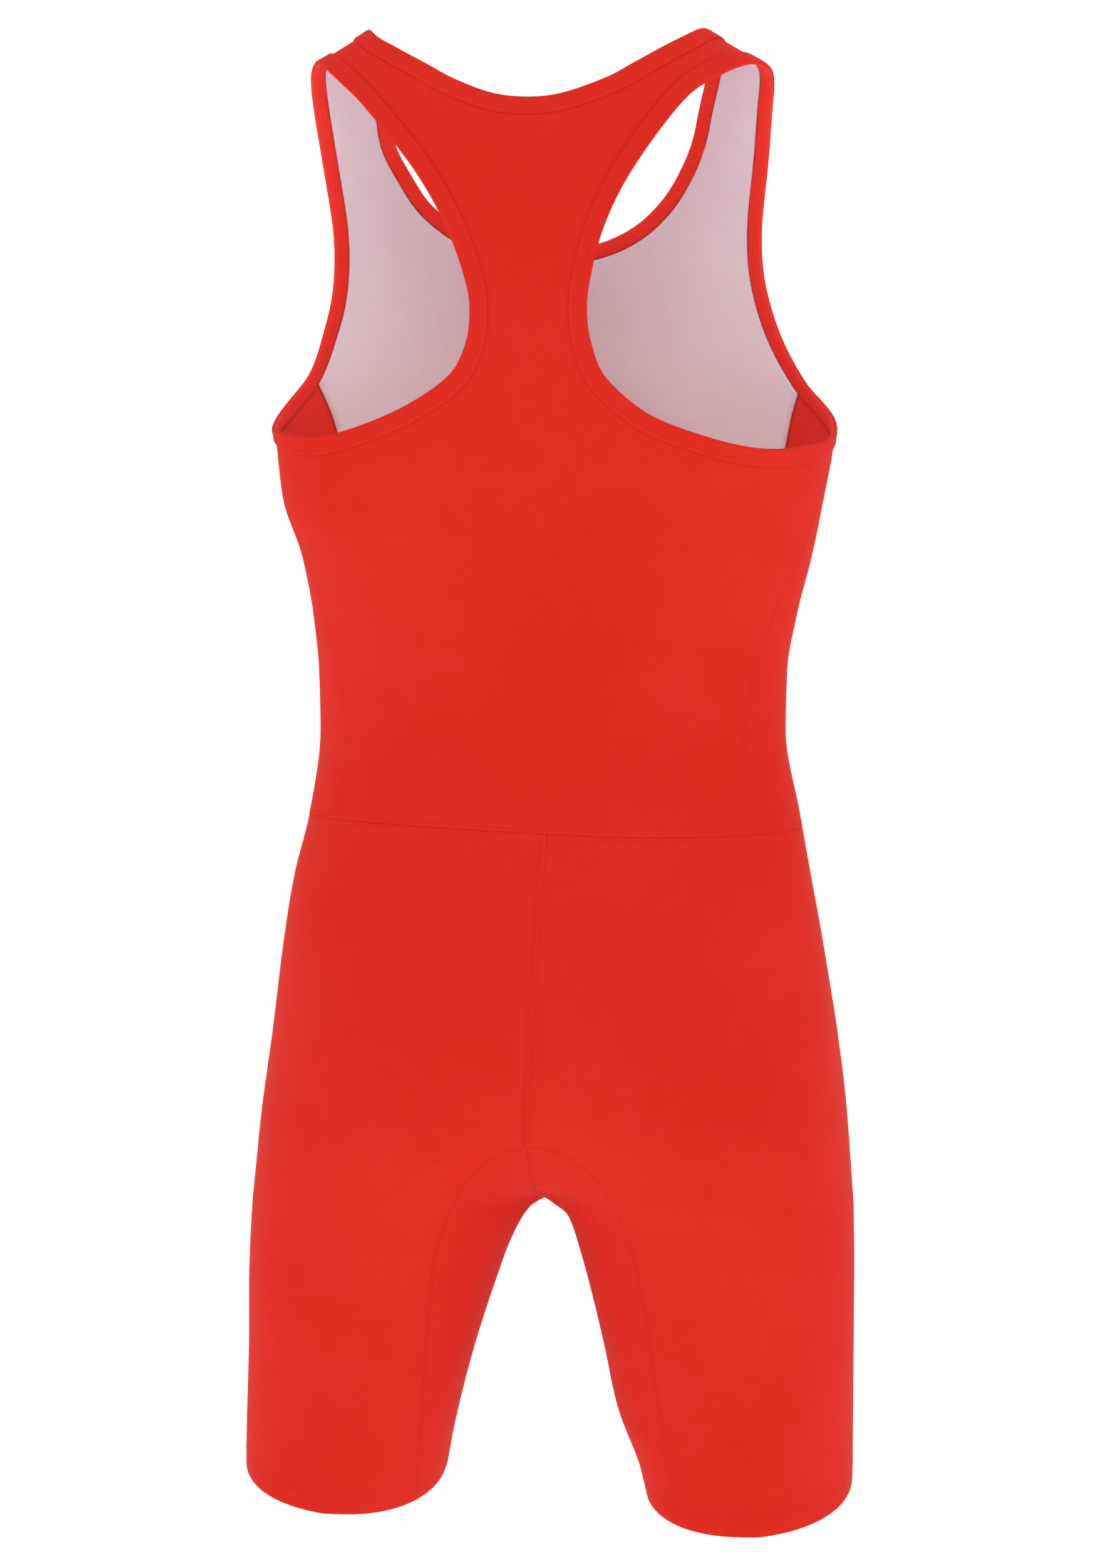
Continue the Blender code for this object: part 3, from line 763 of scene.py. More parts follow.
    def _waist(self, side: Side) -> tuple[Line, Line, Line]:
        """Draws half of the waist seam.

        Args:
            side: the wearer's side.

        Returns:
            Its stretches on the back, under the arm and on the front.
        """
        form = self.form
        level = form.waist_level(side * form.half_width(side, form.waist))
        seam = form.centre_seam.at(form.waist)
        behind = form.seam_point(side, Face.BACK, level)
        ahead = form.seam_point(side, Face.FRONT, level)
        back = form.waist_line(seam.back, behind.x, Face.BACK)
        under = form.round_the_side(side, (behind.x, level), level, (ahead.x, level))
        front = form.waist_line(ahead.x, seam.front, Face.FRONT)
        count = self.count
        return even(back, count.waist_back), even(under, count.side), even(front, count.front_across)

    def fill(self, bottom: Line, top: Line, left: Line, right: Line) -> Rows:
        """Rows of points between four lines that meet at their ends, laid on the form.

        Args:
            bottom: the first row.
            top: the last row.
            left: where the rows start.
            right: where the rows end.

        Returns:
            The rows, from the bottom up.
        """
        rows = []
        for i in range(len(left)):
            up = i / (len(left) - 1)
            row = []
            for j in range(len(bottom)):
                over = j / (len(bottom) - 1)
                point = bottom[j].lerp(top[j], up) + left[i].lerp(right[i], over)
                point -= bottom[0].lerp(bottom[-1], over).lerp(top[0].lerp(top[-1], over), up)
                inside = 0 < i < len(left) - 1 and 0 < j < len(bottom) - 1
                row.append(self.form.settle(point) if inside else point)
            rows.append(row)
        return rows

    def seam_line(self, side: Side, face: Face, top: Vector) -> Line:
        """Draws a side seam from the waist up to the armhole's band.

        Args:
            side: the wearer's side.
            face: the seam to the back or to the front.
            top: its last point.

        Returns:
            The seam's points.
        """
        low = self.form.waist_level(side * self.form.half_width(side, self.form.waist))
        rise = (top.z - low) / self.count.seam
        rows = range(self.count.seam)
        return [self.form.seam_point(side, face, low + rise * row) for row in rows] + [top]

    def centre_line(self, face: Face, top: Vector, low: float, high: float, count: int) -> Line:
        """Points up the centre of the back or front.

        Args:
            face: back or front.
            top: where the whole centre line ends, at the neck's band.
            low: the level of the first point.
            high: the level of the last point.
            count: how many steps.

        Returns:
            The points.
        """
        form = self.form
        foot = face.of(form.centre_seam.at(form.waist))
        base = form.waist_level(foot)
        levels = [low + (high - low) * row / count for row in range(count + 1)]
        return [
            form.drape(foot + (top.x - foot) * (level - base) / (top.z - base), level, face)
            for level in levels
        ]

    def strip(self, edge: Edge, first: int, last: int, stop: float) -> Rows:
        """The strip of a panel, between two rows of an edge, that its binding covers."""
        first, last = sorted((first, last))
        return [edge.line(first, last, stop), edge.line(first, last, self.cloth.band)]

    def _neck_span(self, side: Side, first: int, last: int) -> tuple[int, int]:
        """Rows of the neck's edge on one side, counted from the centre back."""
        return (first, last) if side == Side.RIGHT else (-first, -last)

    def back(self) -> list[Rows]:
        """Cuts the back.

        Returns:
            For each side its lower and upper sheet and the two strips under its bindings.
        """
        sheets, count, band_at = [], self.count, self.cloth.band
        for side in Side:
            band = self.holes[side].line(count.back, 0, band_at)
            span = self._neck_span(side, 0, count.neck_back)
            neck_line = self.neck.line(*span, band_at)
            top, turn = neck_line[0], band[count.turn]
            foot = self.form.waist_level(self.form.centre_seam.at(self.form.waist).back)
            low = self.centre_line(Face.BACK, top, foot, self.back_turn, count.seam)
            high_rows = count.back - count.turn - count.neck_back
            high = self.centre_line(Face.BACK, top, self.back_turn, top.z, high_rows)
            middle = self.form.across(turn, low[-1], Face.BACK, count.back_across)
            shoulder = self.form.across(band[-1], neck_line[-1], Face.BACK, count.back_across)
            seam = self.seam_line(side, Face.BACK, band[0])
            sheets.append(self.fill(self.waists[side][0][::-1], band[:count.turn] + middle, seam, low))
            sheets.append(self.fill(middle, shoulder, band[count.turn:], high[:-1] + neck_line))
            sheets.append(self.strip(self.holes[side], 0, count.back, self.cloth.edge))
            sheets.append(self.strip(self.neck, *span, self.cloth.edge))
        return sheets

    def front(self) -> list[Rows]:
        """Cuts the front, without the strips that its bindings cover.

        Returns:
            One sheet for each side.
        """
        sheets, count, band_at = [], self.count, self.cloth.band
        corner, middle = count.back + count.side, count.neck_back + count.neck_front
        for side in Side:
            band = self.holes[side].line(corner, corner + count.front, band_at)
            neck_line = self.neck.line(*self._neck_span(side, middle, count.neck_back), band_at)
            top = neck_line[0]
            foot = self.form.waist_level(self.form.centre_seam.at(self.form.waist).front)
            rows = count.seam + count.front - count.neck_front
            centre = self.centre_line(Face.FRONT, top, foot, top.z, rows)
            shoulder = self.form.across(band[-1], neck_line[-1], Face.FRONT, count.front_across)
            seam = self.seam_line(side, Face.FRONT, band[0])
            outer, inner = seam[:-1] + band, centre[:-1] + neck_line
            sheets.append(self.fill(self.waists[side][2], shoulder, outer, inner))
        return sheets

    def front_strips(self, stop: float) -> list[Rows]:
        """Cuts the strips of the front or its lining that the bindings cover.

        Args:
            stop: how far from the finished edge they end.

        Returns:
            Two strips for each side.
        """
        sheets, count = [], self.count
        corner, middle = count.back + count.side, count.neck_back + count.neck_front
        for side in Side:
            sheets.append(self.strip(self.holes[side], corner, corner + count.front, stop))
            sheets.append(self.strip(self.neck, *self._neck_span(side, middle, count.neck_back), stop))
        return sheets

    def side(self, side: Side) -> list[Rows]:
        """Cuts the narrow piece under an arm.

        Args:
            side: the wearer's side.

        Returns:
            Its sheet and the strip that its binding covers.
        """
        count = self.count
        corner = count.back + count.side
        band = self.holes[side].line(count.back, corner, self.cloth.band)
        back = self.seam_line(side, Face.BACK, band[0])
        front = self.seam_line(side, Face.FRONT, band[-1])
        return [
            self.fill(self.waists[side][1], band, back, front),
            self.strip(self.holes[side], count.back, corner, self.cloth.edge),
        ]

    def _arch_places(self, side: Side) -> list[tuple[float, float]]:
        """Finds places down the arched seam, evenly to the turned hem and closer across it.

        Args:
            side: the wearer's side.

        Returns:
            Each place across, with its level.
        """
        arch, levels = self.form.arch_seam, self._even_levels(side, self.form.arch_top, 10)
        line = [Vector((side.of(arch.at(level)), 0, level)) for level in levels]
        places = [(side * point.x, point.z) for point in even(line, self.count.arch)]
        return places + [(side * side.of(arch.at(level)), level) for level in self._hem_levels(side)]

    def _even_levels(self, side: Side, top: float, finer: int = 1) -> list[float]:
        """Even levels from a top level down to a turned hem, a number of times finer."""
        reach = self.form.hems[side] + self.cloth.hem_depth + self.cloth.wall - top
        return [top + reach * i / (finer * self.count.arch) for i in range(finer * self.count.arch + 1)]

    def _hem_levels(self, side: Side) -> list[float]:
        """Levels across a turned hem, from its stitching down to its fold."""
        low, deep = self.form.hems[side], self.cloth.hem_depth
        return [low + deep * share for share in (1, 0.66, 0.33, 0)]

    def _spread_levels(self, side: Side, top: float) -> list[float]:
        """Levels that face the places of the arched seam, from a top level to the hem."""
        return self._even_levels(side, top) + self._hem_levels(side)

    def leg(self, side: Side) -> Rows:
        """Cuts a leg piece, from the centre back round the outside to the centre front.

        Args:
            side: the wearer's side.

        Returns:
            Its rows, from the waist down.
        """
        form, count = self.form, self.count
        back, under, front = self.waists[side]
        rows = [back + under[1:] + front[1:]]
        lengths = lengths_to(rows[0])
        for row in range(1, count.seat):
            down = row / count.seat
            level = form.waist + (form.arch_top - form.waist) * down
            level -= (form.waist - rows[0][count.waist_back].z) * (1 - down) ** 2
            seam = form.centre_seam.at(level)
            shares = [
                (1 - down) * length / lengths[-1] + down * column / count.leg
                for column, length in enumerate(lengths)
            ]
            line = form.round_the_side(side, (seam.back, level), level, (seam.front, level))
            rows.append(spaced(line, shares))
        for place, level in zip(self._arch_places(side), self._spread_levels(side, form.arch_top)):
            line = even(form.round_the_side(side, place, level, place), count.leg)
            rows.append([form.lift_hem(side, point) for point in line])
        return rows

    def inner_leg(self, side: Side) -> Rows:
        """Cuts an inner leg piece.

        Args:
            side: the wearer's side.

        Returns:
            Its rows, from the crotch seam down to the hem.
        """
        places = zip(self._arch_places(side), self._spread_levels(side, self.form.crotch))
        return [even(self.round_inside(side, *place), self.count.inner) for place in places]

    def round_inside(self, side: Side, place: tuple[float, float], level: float) -> Line:
        """A line from a place of the arched seam round the inner side line and back to it."""
        straight, turn = self.form.straight, (side * side.of(self.form.inner.at(level)), level)
        return straight(place, turn, Face.BACK) + straight(turn, place, Face.FRONT)[1:]


@dataclass(frozen=True)
class Socket:
    """A node's output, or a number, that takes part in shader maths."""

    graph: "Graph"
    link: object

    def _with(self, operation: str, *others: object) -> "Socket":
        """A Math node on this value and others."""
        return self.graph.math(operation, self, *others)

    def __add__(self, other: object) -> "Socket":
        """The sum."""
        return self._with("ADD", other)

    def __radd__(self, other: object) -> "Socket":
        """The sum, with this value second."""
        return self.graph.math("ADD", other, self)

    def __sub__(self, other: object) -> "Socket":
        """The difference."""
        return self._with("SUBTRACT", other)

    def __rsub__(self, other: object) -> "Socket":
        """The difference, with this value second."""
        return self.graph.math("SUBTRACT", other, self)

    def __mul__(self, other: object) -> "Socket":
        """The product."""
        return self._with("MULTIPLY", other)

    def __rmul__(self, other: object) -> "Socket":
        """The product, with this value second."""
        return self.graph.math("MULTIPLY", other, self)

    def __abs__(self) -> "Socket":
        """The value without its sign."""
        return self._with("ABSOLUTE")

    def sine(self) -> "Socket":
        """The sine of the value in radians."""
        return self._with("SINE")

    def step(self, low: float, high: float) -> "Socket":
        """A smooth step from 0 at low to 1 at high."""
        kind, inputs = "SMOOTHSTEP", {"Value": self, "From Min": low, "From Max": high}
        return self.graph.node("ShaderNodeMapRange", {"interpolation_type": kind}, inputs)["Result"]


class Outputs:
    """A node's outputs by name, each ready for shader maths."""

    def __init__(self, graph: "Graph", node: bpy.types.Node) -> None:
        """Keeps the node and the graph that it is in."""
        self.graph, self.shader_node = graph, node

    def __getitem__(self, name: str) -> Socket:
        """Finds an output that is in use.

        Args:
            name: its name.

        Returns:
            The output, ready for shader maths.
        """
        for output in self.shader_node.outputs:
            if output.name == name and output.enabled:
                return Socket(self.graph, output)
        raise KeyError(name)


class Graph:
    """Builds the nodes of one material or of the world."""

    def __init__(self, owner: bpy.types.Material | bpy.types.World) -> None:
        """Clears the owner's nodes.

        Args:
            owner: the material or world to fill.
        """
        owner.use_nodes = True
        self.tree = owner.node_tree
        self.tree.nodes.clear()

    def node(
        self, kind: str, settings: dict[str, object] | None = None,
        inputs: dict[object, object] | None = None,
    ) -> Outputs:
        """Adds a node.

        Args:
            kind: the node's type.
            settings: its properties, which are set first.
            inputs: values or links for its sockets, by name or number.

        Returns:
            The node's outputs.
        """
        made = self.tree.nodes.new(kind)
        for name, value in (settings or {}).items():
            setattr(made, name, value)
        for name, value in (inputs or {}).items():
            self._feed(made, name, value)
        return Outputs(self, made)

    def _feed(self, made: bpy.types.Node, name: object, value: object) -> None:
        """Sets or links one input.

        Args:
            made: the node.
            name: the input's name or number.
            value: a number, a colour or a socket.
        """
        if isinstance(name, int):
            socket = made.inputs[name]
        else:
            socket = next(one for one in made.inputs if one.name == name and one.enabled)
        if isinstance(value, Socket):
            self.tree.links.new(value.link, socket)
        elif isinstance(value, tuple) and len(value) == 3 and socket.type == "RGBA":
            socket.default_value = (*value, 1.0)
        else:
            socket.default_value = value

    def math(self, operation: str, *values: object) -> Socket:
        """The result of a Math node on numbers or sockets."""
        return self.node("ShaderNodeMath", {"operation": operation}, dict(enumerate(values)))["Value"]

    def blend(self, share: object, first: object, second: object) -> Socket:
        """Two colours, or links, mixed with a share of the second."""
        inputs = {"Factor": share, "A": first, "B": second}
        return self.node("ShaderNodeMix", {"data_type": "RGBA"}, inputs)["Result"]

    def noise(self, place: Socket, scale: float, detail: float = 2.0, roughness: float = 0.5) -> Socket:
        """The factor of a Noise Texture, its scale for coordinates in metres."""
        inputs = {"Vector": place, "Scale": scale, "Detail": detail, "Roughness": roughness}
        return self.node("ShaderNodeTexNoise", None, inputs)["Fac"]


@dataclass(frozen=True)
class Finish:
    """What every finish has, and the shader that it ends in."""

    name: str
    slot: Slot
    colour: Triple
    shade: Triple

    def material(self) -> bpy.types.Material:
        """Builds the finish's material.

        Returns:
            The material.
        """
        made = bpy.data.materials.new(self.name)
        graph = Graph(made)
        self.paint(graph, graph.node("ShaderNodeTexCoord")["Object"])
        return made

    def paint(self, graph: Graph, place: Socket) -> None:
        """Fills the material's nodes, at a place in metres; each finish has its own way."""
        raise NotImplementedError

    def dress(
        self, graph: Graph, colour: Socket, rough: Socket, height: Socket, strength: float,
        distance: float, **gloss: object,
    ) -> None:
        """Ends a material's nodes in a shader with a relief.

        Args:
            graph: the material's nodes.
            colour: the base colour.
            rough: the roughness.
            height: the relief's height.
            strength: how strongly the relief shows.
            distance: how deep it is, in metres.
            gloss: constants for the shader's own sockets, with underscores for the spaces.
        """
        bump = graph.node("ShaderNodeBump", None, {
            "Strength": strength, "Distance": distance, "Height": height,
        })
        constants = {name.replace("_", " "): value for name, value in gloss.items()}
        shader = graph.node("ShaderNodeBsdfPrincipled", None, {
            "Base Color": colour, "Roughness": rough, "Normal": bump["Normal"], **constants,
        })
        graph.node("ShaderNodeOutputMaterial", None, {"Surface": shader["BSDF"]})


@dataclass(frozen=True)
class Knit(Finish):
    """A knitted cloth: its colours, its fine wales and courses, and its soft sheen."""

    light: Triple
    roughness: float = 0.74
    sheen: float = 0.03
    sheen_tint: Triple = (1.0, 0.35, 0.35)
    specular: float = 0.05
    wale: float = 0.62
    course: float = 0.5
    relief: float = 0.05
    # How strongly the hollows of a lining's creases are darkened, as painted shade; 0 leaves the
    # creases out.
    creases: float = 0.0
    # Painted light: the share and the colour that lighten a lining towards the bottom.
    painted_light_below: float = 0.0
    painted_light_colour: Triple = (0.97, 0.97, 1.0)
    uneven: float = 260.0
    hairy: float = 1500.0
    cloudy: float = 9.0
    blotchy: float = 60.0
    creased: float = 70.0

    def paint(self, graph: Graph, place: Socket) -> None:
        """Fills the nodes with wales and courses, soft random clouds of darker and lighter tone,
        painted shade in the dips between the loops, and a lining's creases with painted shade in their
        hollows and painted light towards the bottom.

        Args:
            graph: the material's nodes.
            place: the coordinates.
        """
        parts = graph.node("ShaderNodeSeparateXYZ", None, {"Vector": place})
        z = parts["Z"]
        across = abs(parts["X"]) - abs(parts["Y"])
        wobble = graph.noise(place, self.uneven)
        wales = (across * (2 * math.pi / (self.wale * MM)) + wobble * 2.2).sine()
        courses = (z * (2 * math.pi / (self.course * MM)) + abs(wales) * 2.1 + wobble * 2.0).sine()
        loops = wales * 0.5 + courses * 0.35
        fuzz = graph.noise(place, self.hairy, 3.0, 0.65)
        soft = graph.noise(place, self.cloudy, 3.0, 0.45)
        patchy = graph.noise(place, self.blotchy, 4.0, 0.55)
        depth = (soft * 0.7 + patchy * 0.3).step(0.36, 0.64)
        cloud = graph.blend(depth, self.shade, self.light)
        body = graph.blend(0.55, cloud, self.colour)
        # The dips between the knit's loops are darkened towards the shade colour: painted shade in the
        # knit's hollows.
        lit_loops = (loops * 0.5 + 0.5).step(0.05, 0.6)
        colour = graph.blend((1 - lit_loops) * 0.16, body, self.shade)
        height = loops * 0.5 + fuzz * 0.8 + patchy * 1.1
        if self.creases:
            hanging = self._crease(graph, place, (1.0, 1.0, 0.1), 0.0)
            pulled = self._crease(graph, place, (0.12, 1.0, 1.0), 0.45)
            fold = (hanging + pulled * z.step(-0.17, -0.25)).step(0.35, 1.3)
            # The hollows of the creases are darkened towards the shade colour: painted shade.
            colour = graph.blend((1 - fold) * self.creases, colour, self.shade)
            # The lining is lightened towards the bottom: painted light that makes up for the shade
            # inside the suit.
            colour = graph.blend(z.step(-0.07, -0.24) * self.painted_light_below, colour, self.painted_light_colour)
            height = height + fold * 6.0
        self.dress(
            graph, colour, self.roughness + fuzz * 0.12 - 0.06, height, self.relief * 6, 0.4 * MM,
            Sheen_Weight=self.sheen, Sheen_Roughness=0.45, Sheen_Tint=self.sheen_tint,
            Specular_IOR_Level=self.specular,
        )

    def _crease(self, graph: Graph, place: Socket, scale: Triple, lean: float) -> Socket:
        """Soft creases that are drawn out in one direction.

        Args:
            graph: the material's nodes.
            place: the coordinates.
            scale: how the coordinates are squeezed, small along the creases.
            lean: the creases' slope in radians.

        Returns:
            A value from 0 to 1.
        """
        inputs = {"Vector": place, "Rotation": (0.0, lean, 0.0), "Scale": scale}
        drawn = graph.node("ShaderNodeMapping", None, inputs)["Vector"]
        return graph.noise(drawn, self.creased, 1.5, 0.4)


@dataclass(frozen=True)
class Thread(Finish):
    """Sewing thread in the colour of the knit that it holds."""

    roughness: float = 0.5
    twisted: float = 2600.0

    def paint(self, graph: Graph, place: Socket) -> None:
        """Fills the nodes with fine uneven strands.

        Args:
            graph: the material's nodes.
            place: the coordinates.
        """
        strand = graph.noise(place, self.twisted, 2.0, 0.6)
        colour = graph.blend(strand.step(0.35, 0.65), self.shade, self.colour)
        rough = self.roughness + strand * 0.1
        self.dress(graph, colour, rough, strand, 0.4, 0.1 * MM, Specular_IOR_Level=0.08)


RED_KNIT = Knit(
    "red_knit_outside", Slot.RED, (0.71, 0.024, 0.0145), (0.685, 0.019, 0.0105), (0.735, 0.03, 0.02)
)
BAND_KNIT = Knit(
    "red_knit_binding", Slot.RED, (0.72, 0.024, 0.0145), (0.68, 0.018, 0.0105), (0.75, 0.03, 0.02),
    wale=0.5,
)
# The wrong side's red is lighter than the outside's: painted light that makes up for the shade inside
# the suit.
WRONG_SIDE = Knit(
    "red_knit_wrong_side", Slot.RED, (0.9, 0.045, 0.032), (0.86, 0.036, 0.025), (0.93, 0.055, 0.042),
    roughness=0.8, sheen=0.6, sheen_tint=(1.0, 0.12, 0.09), wale=0.7, course=0.6,
)
# The lining gets painted shade in its creases and painted light towards the bottom.
LINING_KNIT = Knit(
    "lining_knit_inside", Slot.LINING, (0.81, 0.73, 0.815), (0.77, 0.68, 0.765), (0.855, 0.785, 0.865),
    roughness=0.8, sheen=0.15, sheen_tint=(1.0, 0.9, 0.92), specular=0.2, wale=0.8, course=0.7,
    relief=0.06, creases=0.5, painted_light_below=0.72,
)
RED_THREAD = Thread("red_thread", Slot.RED, (0.69, 0.0225, 0.0135), (0.62, 0.017, 0.0105))
LOOPER_THREAD = Thread("red_looper_thread", Slot.RED, (0.86, 0.04, 0.028), (0.8, 0.032, 0.022))


def make_object(
    name: str, bm: bmesh.types.BMesh, finishes: Sequence[bpy.types.Material]
) -> bpy.types.Object:
    """Turns a mesh in millimetres into an object in metres.

    Args:
        name: the object's name.
        bm: the mesh, which is freed.
        finishes: its materials, the outside's first.

    Returns:
        The object.
    """
    bmesh.ops.scale(bm, vec=(MM, MM, MM), verts=bm.verts)
    mesh = bpy.data.meshes.new(name)
    bm.to_mesh(mesh)
    bm.free()
    mesh.shade_smooth()
    for finish in finishes:
        mesh.materials.append(finish)
    made = bpy.data.objects.new(name, mesh)
    bpy.context.scene.collection.objects.link(made)
    return made


def make_piece(
    name: str, bm: bmesh.types.BMesh, finishes: Sequence[bpy.types.Material], slot: Slot
) -> bpy.types.Object:
    """Turns a mesh in millimetres into a finished piece that rides on the suit.

    Args:
        name: the piece's name.
        bm: the mesh, which is freed.
        finishes: its materials, the outside's first.
        slot: the record's slot that it stands for; not used.

    Returns:
        The piece.
    """
    piece = make_object(name, bm, finishes)
    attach(piece, "root")
    piece.data.calc_loop_triangles()
    LOG.info("%s: %d triangles", name, len(piece.data.loop_triangles))
    return piece


def lay_patch(bm: bmesh.types.BMesh, rows: Rows) -> None:
    """Adds a sheet of four-sided faces through rows of points.

    Args:
        bm: the mesh to add to.
        rows: rows of one length.
    """
    sheet = bmesh.ops.create_grid(bm, x_segments=len(rows[0]) - 1, y_segments=len(rows) - 1, size=1)
    for vert, point in zip(sheet["verts"], [point for row in rows for point in row]):
        vert.co = point


@dataclass
class Panel:
    """A cut piece of cloth: its sheets on the form, its wall and the size that it was cut to."""

    name: str
    nodes: tuple[str, ...]
    sheets: list[Rows]
    knit: Knit
    flat: tuple[float, float]
    depth: float = 0.0
    wall: Callable[[Vector], float] = lambda point: Cloth.wall
    ease: float = 0.16
    joined: float = 0.03

    def build(self, form: Form, finishes: Sequence[bpy.types.Material]) -> bpy.types.Object:
        """Joins the sheets, gives them their wall and eases the edges at the seams.

        Args:
            form: the form, for the direction of the wall.
            finishes: the materials of the knit's right and wrong side.

        Returns:
            The piece.
        """
        bm = bmesh.new()
        for rows in self.sheets:
            lay_patch(bm, rows)
        bmesh.ops.remove_doubles(bm, verts=bm.verts, dist=self.joined)
        out = {vert: form.normal(vert.co) for vert in bm.verts}
        inner_of = {}
        for vert in bm.verts:
            wall = self.wall(vert.co)
            vert.co -= out[vert] * self.depth
            inner_of[tuple(vert.co)] = vert.co - out[vert] * wall
        rim = [edge for edge in bm.edges if edge.is_boundary]
        area = sum(face.calc_area() for face in bm.faces) * MM * MM
        raised = bmesh.ops.extrude_face_region(bm, geom=bm.faces[:], use_keep_orig=True)["geom"]
        for item in raised:
            if isinstance(item, bmesh.types.BMVert):
                item.co = inner_of[tuple(item.co)]
            elif isinstance(item, bmesh.types.BMFace):
                item.material_index = len(finishes) - 1
        bmesh.ops.recalc_face_normals(bm, faces=bm.faces)
        bmesh.ops.bevel(
            bm, geom=[edge for edge in rim if edge.is_valid], offset=self.ease, offset_type="OFFSET",
            segments=2, profile=0.5, affect="EDGES", material=-1, clamp_overlap=True,
        )
        piece = make_piece(self.name, bm, finishes, self.knit.slot)
        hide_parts(*self.nodes)
        width, length = self.flat
        LOG.info("%s: cut area %.4f m2 of %.3f", self.name, area, width * length)
        self.area = area
        return piece


@dataclass
class Binding:
    """A strip folded over a finished edge and sewn down with two rows."""

    name: str
    node: str
    edge: Edge
    ragged: float = 0.5
    behind: float = -1.0
    joined: float = 0.02

    def section(self) -> list[tuple[float, float]]:
        """The strip's folded profile, with a groove under each row of stitches.

        Returns:
            Distances in from the edge and lifts out of the form.
        """
        first, second = Cloth.band_rows
        return [
            (11.0, 0.2), (10.95, 0.6), (10.7, 0.95), (10.1, 1.2), (9.2, 1.34), (second + 0.5, 1.3),
            (second, 1.21), (second - 0.5, 1.3), ((first + second) / 2, 1.35), (first + 0.5, 1.3),
            (first, 1.21), (first - 0.5, 1.32), (3.2, 1.45), (1.6, 1.4), (0.6, 1.15), (0.12, 0.6),
            (0.0, -0.3), (0.1, -1.2), (0.5, -1.9), (1.3, -2.25), (3.5, -2.34), (7.4, -2.32),
            (8.5, -2.22), (8.8, -1.95), (8.8, -1.3), (5.0, -1.3), (1.1, -1.3), (1.0, -0.5), (1.1, 0.3),
            (5.0, 0.3),
        ]

    def build(self, finishes: Sequence[bpy.types.Material]) -> bpy.types.Object:
        """Runs the section round the edge.

        Args:
            finishes: the materials of the strip outside and inside the suit.

        Returns:
            The piece.
        """
        bm = bmesh.new()
        section = self.section()
        rows = []
        for row in range(len(self.edge.points) + 1):
            where = self.edge.at(row, Cloth.band_inside)
            wander = self.ragged * (noise.noise(where * 0.22) + noise.noise(where * 0.9))
            line = []
            for distance, lift in section + section[:1]:
                shift = wander if distance > 8.2 and lift < self.behind else 0.0
                line.append(self.edge.at(row, distance + shift, lift))
            rows.append(line)
        lay_patch(bm, rows)
        for i, face in enumerate(bm.faces):
            if section[i % len(section)][1] < self.behind:
                face.material_index = 1
        bmesh.ops.remove_doubles(bm, verts=bm.verts, dist=self.joined)
        bmesh.ops.recalc_face_normals(bm, faces=bm.faces)
        piece = make_piece(self.name, bm, finishes, Slot.RED)
        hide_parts(self.node)
        return piece


@dataclass(frozen=True)
class Stitch:
    """A kind of stitch: its spacing and sizes, its place off the form and beside a seam, its lay."""

    pitch: float = 2.5
    length: float = 1.9
    thick: float = 0.27
    lift: float = 0.05
    inset: float = 0.0
    lay: Lay = Lay.ALONG
    reach: float = 0.6

    def beside(self, sheet: Rows) -> "tuple[Line, Stitch]":
        """A row of this kind beside the seam on which all the rows of a sheet start."""
        return inside_of(sheet, self.inset), self

    def places(self, line: Line, form: Form) -> Iterable[Matrix]:
        """The place of each stitch of a row.

        Args:
            line: the line that the row follows.
            form: the form, for the way out of the cloth.

        Returns:
            One matrix for each stitch.
        """
        lengths = lengths_to(line)
        count = max(int(lengths[-1] / self.pitch), 1)
        for i in range(count):
            at = lengths[-1] * (i + 0.5) / count
            point = along(line, lengths, at)
            run = along(line, lengths, at + self.reach) - along(line, lengths, at - self.reach)
            out = form.normal(point)
            run = (run - out * run.dot(out)).normalized()
            side = out.cross(run)
            if self.lay is Lay.ACROSS:
                side, run = -run, side
            turn = Matrix((side, out, run)).transposed().to_4x4()
            sizes = Matrix.Diagonal((self.thick, self.thick * 0.8, self.length / 2, 1.0))
            yield Matrix.Translation(point + out * self.lift) @ turn @ sizes


BAND_STITCH = Stitch()
LOOPER_STITCH = Stitch(3.0, 2.2, lift=0.0)
EDGE_LOOP = Stitch(2.6, 1.6, 0.3, lift=0.0, lay=Lay.ACROSS)
HEM_STITCH = Stitch(thick=0.24, lift=-0.04)
TOP_STITCH = Stitch(2.2, 1.5, inset=2.5)
JOIN_STITCH = Stitch(2.2, 1.6, 0.3, inset=0.2)
FLAT_STITCH = Stitch(1.5, 2.9, 0.17, inset=3.4, lay=Lay.ACROSS)
SIDE_STITCH = Stitch(2.4, 1.8, 0.22, inset=1.9)
ARCH_STITCH = Stitch(2.2, 1.6, 0.24, inset=1.7)
CROTCH_STITCH = Stitch(2.2, 1.6, 0.24, inset=1.8)


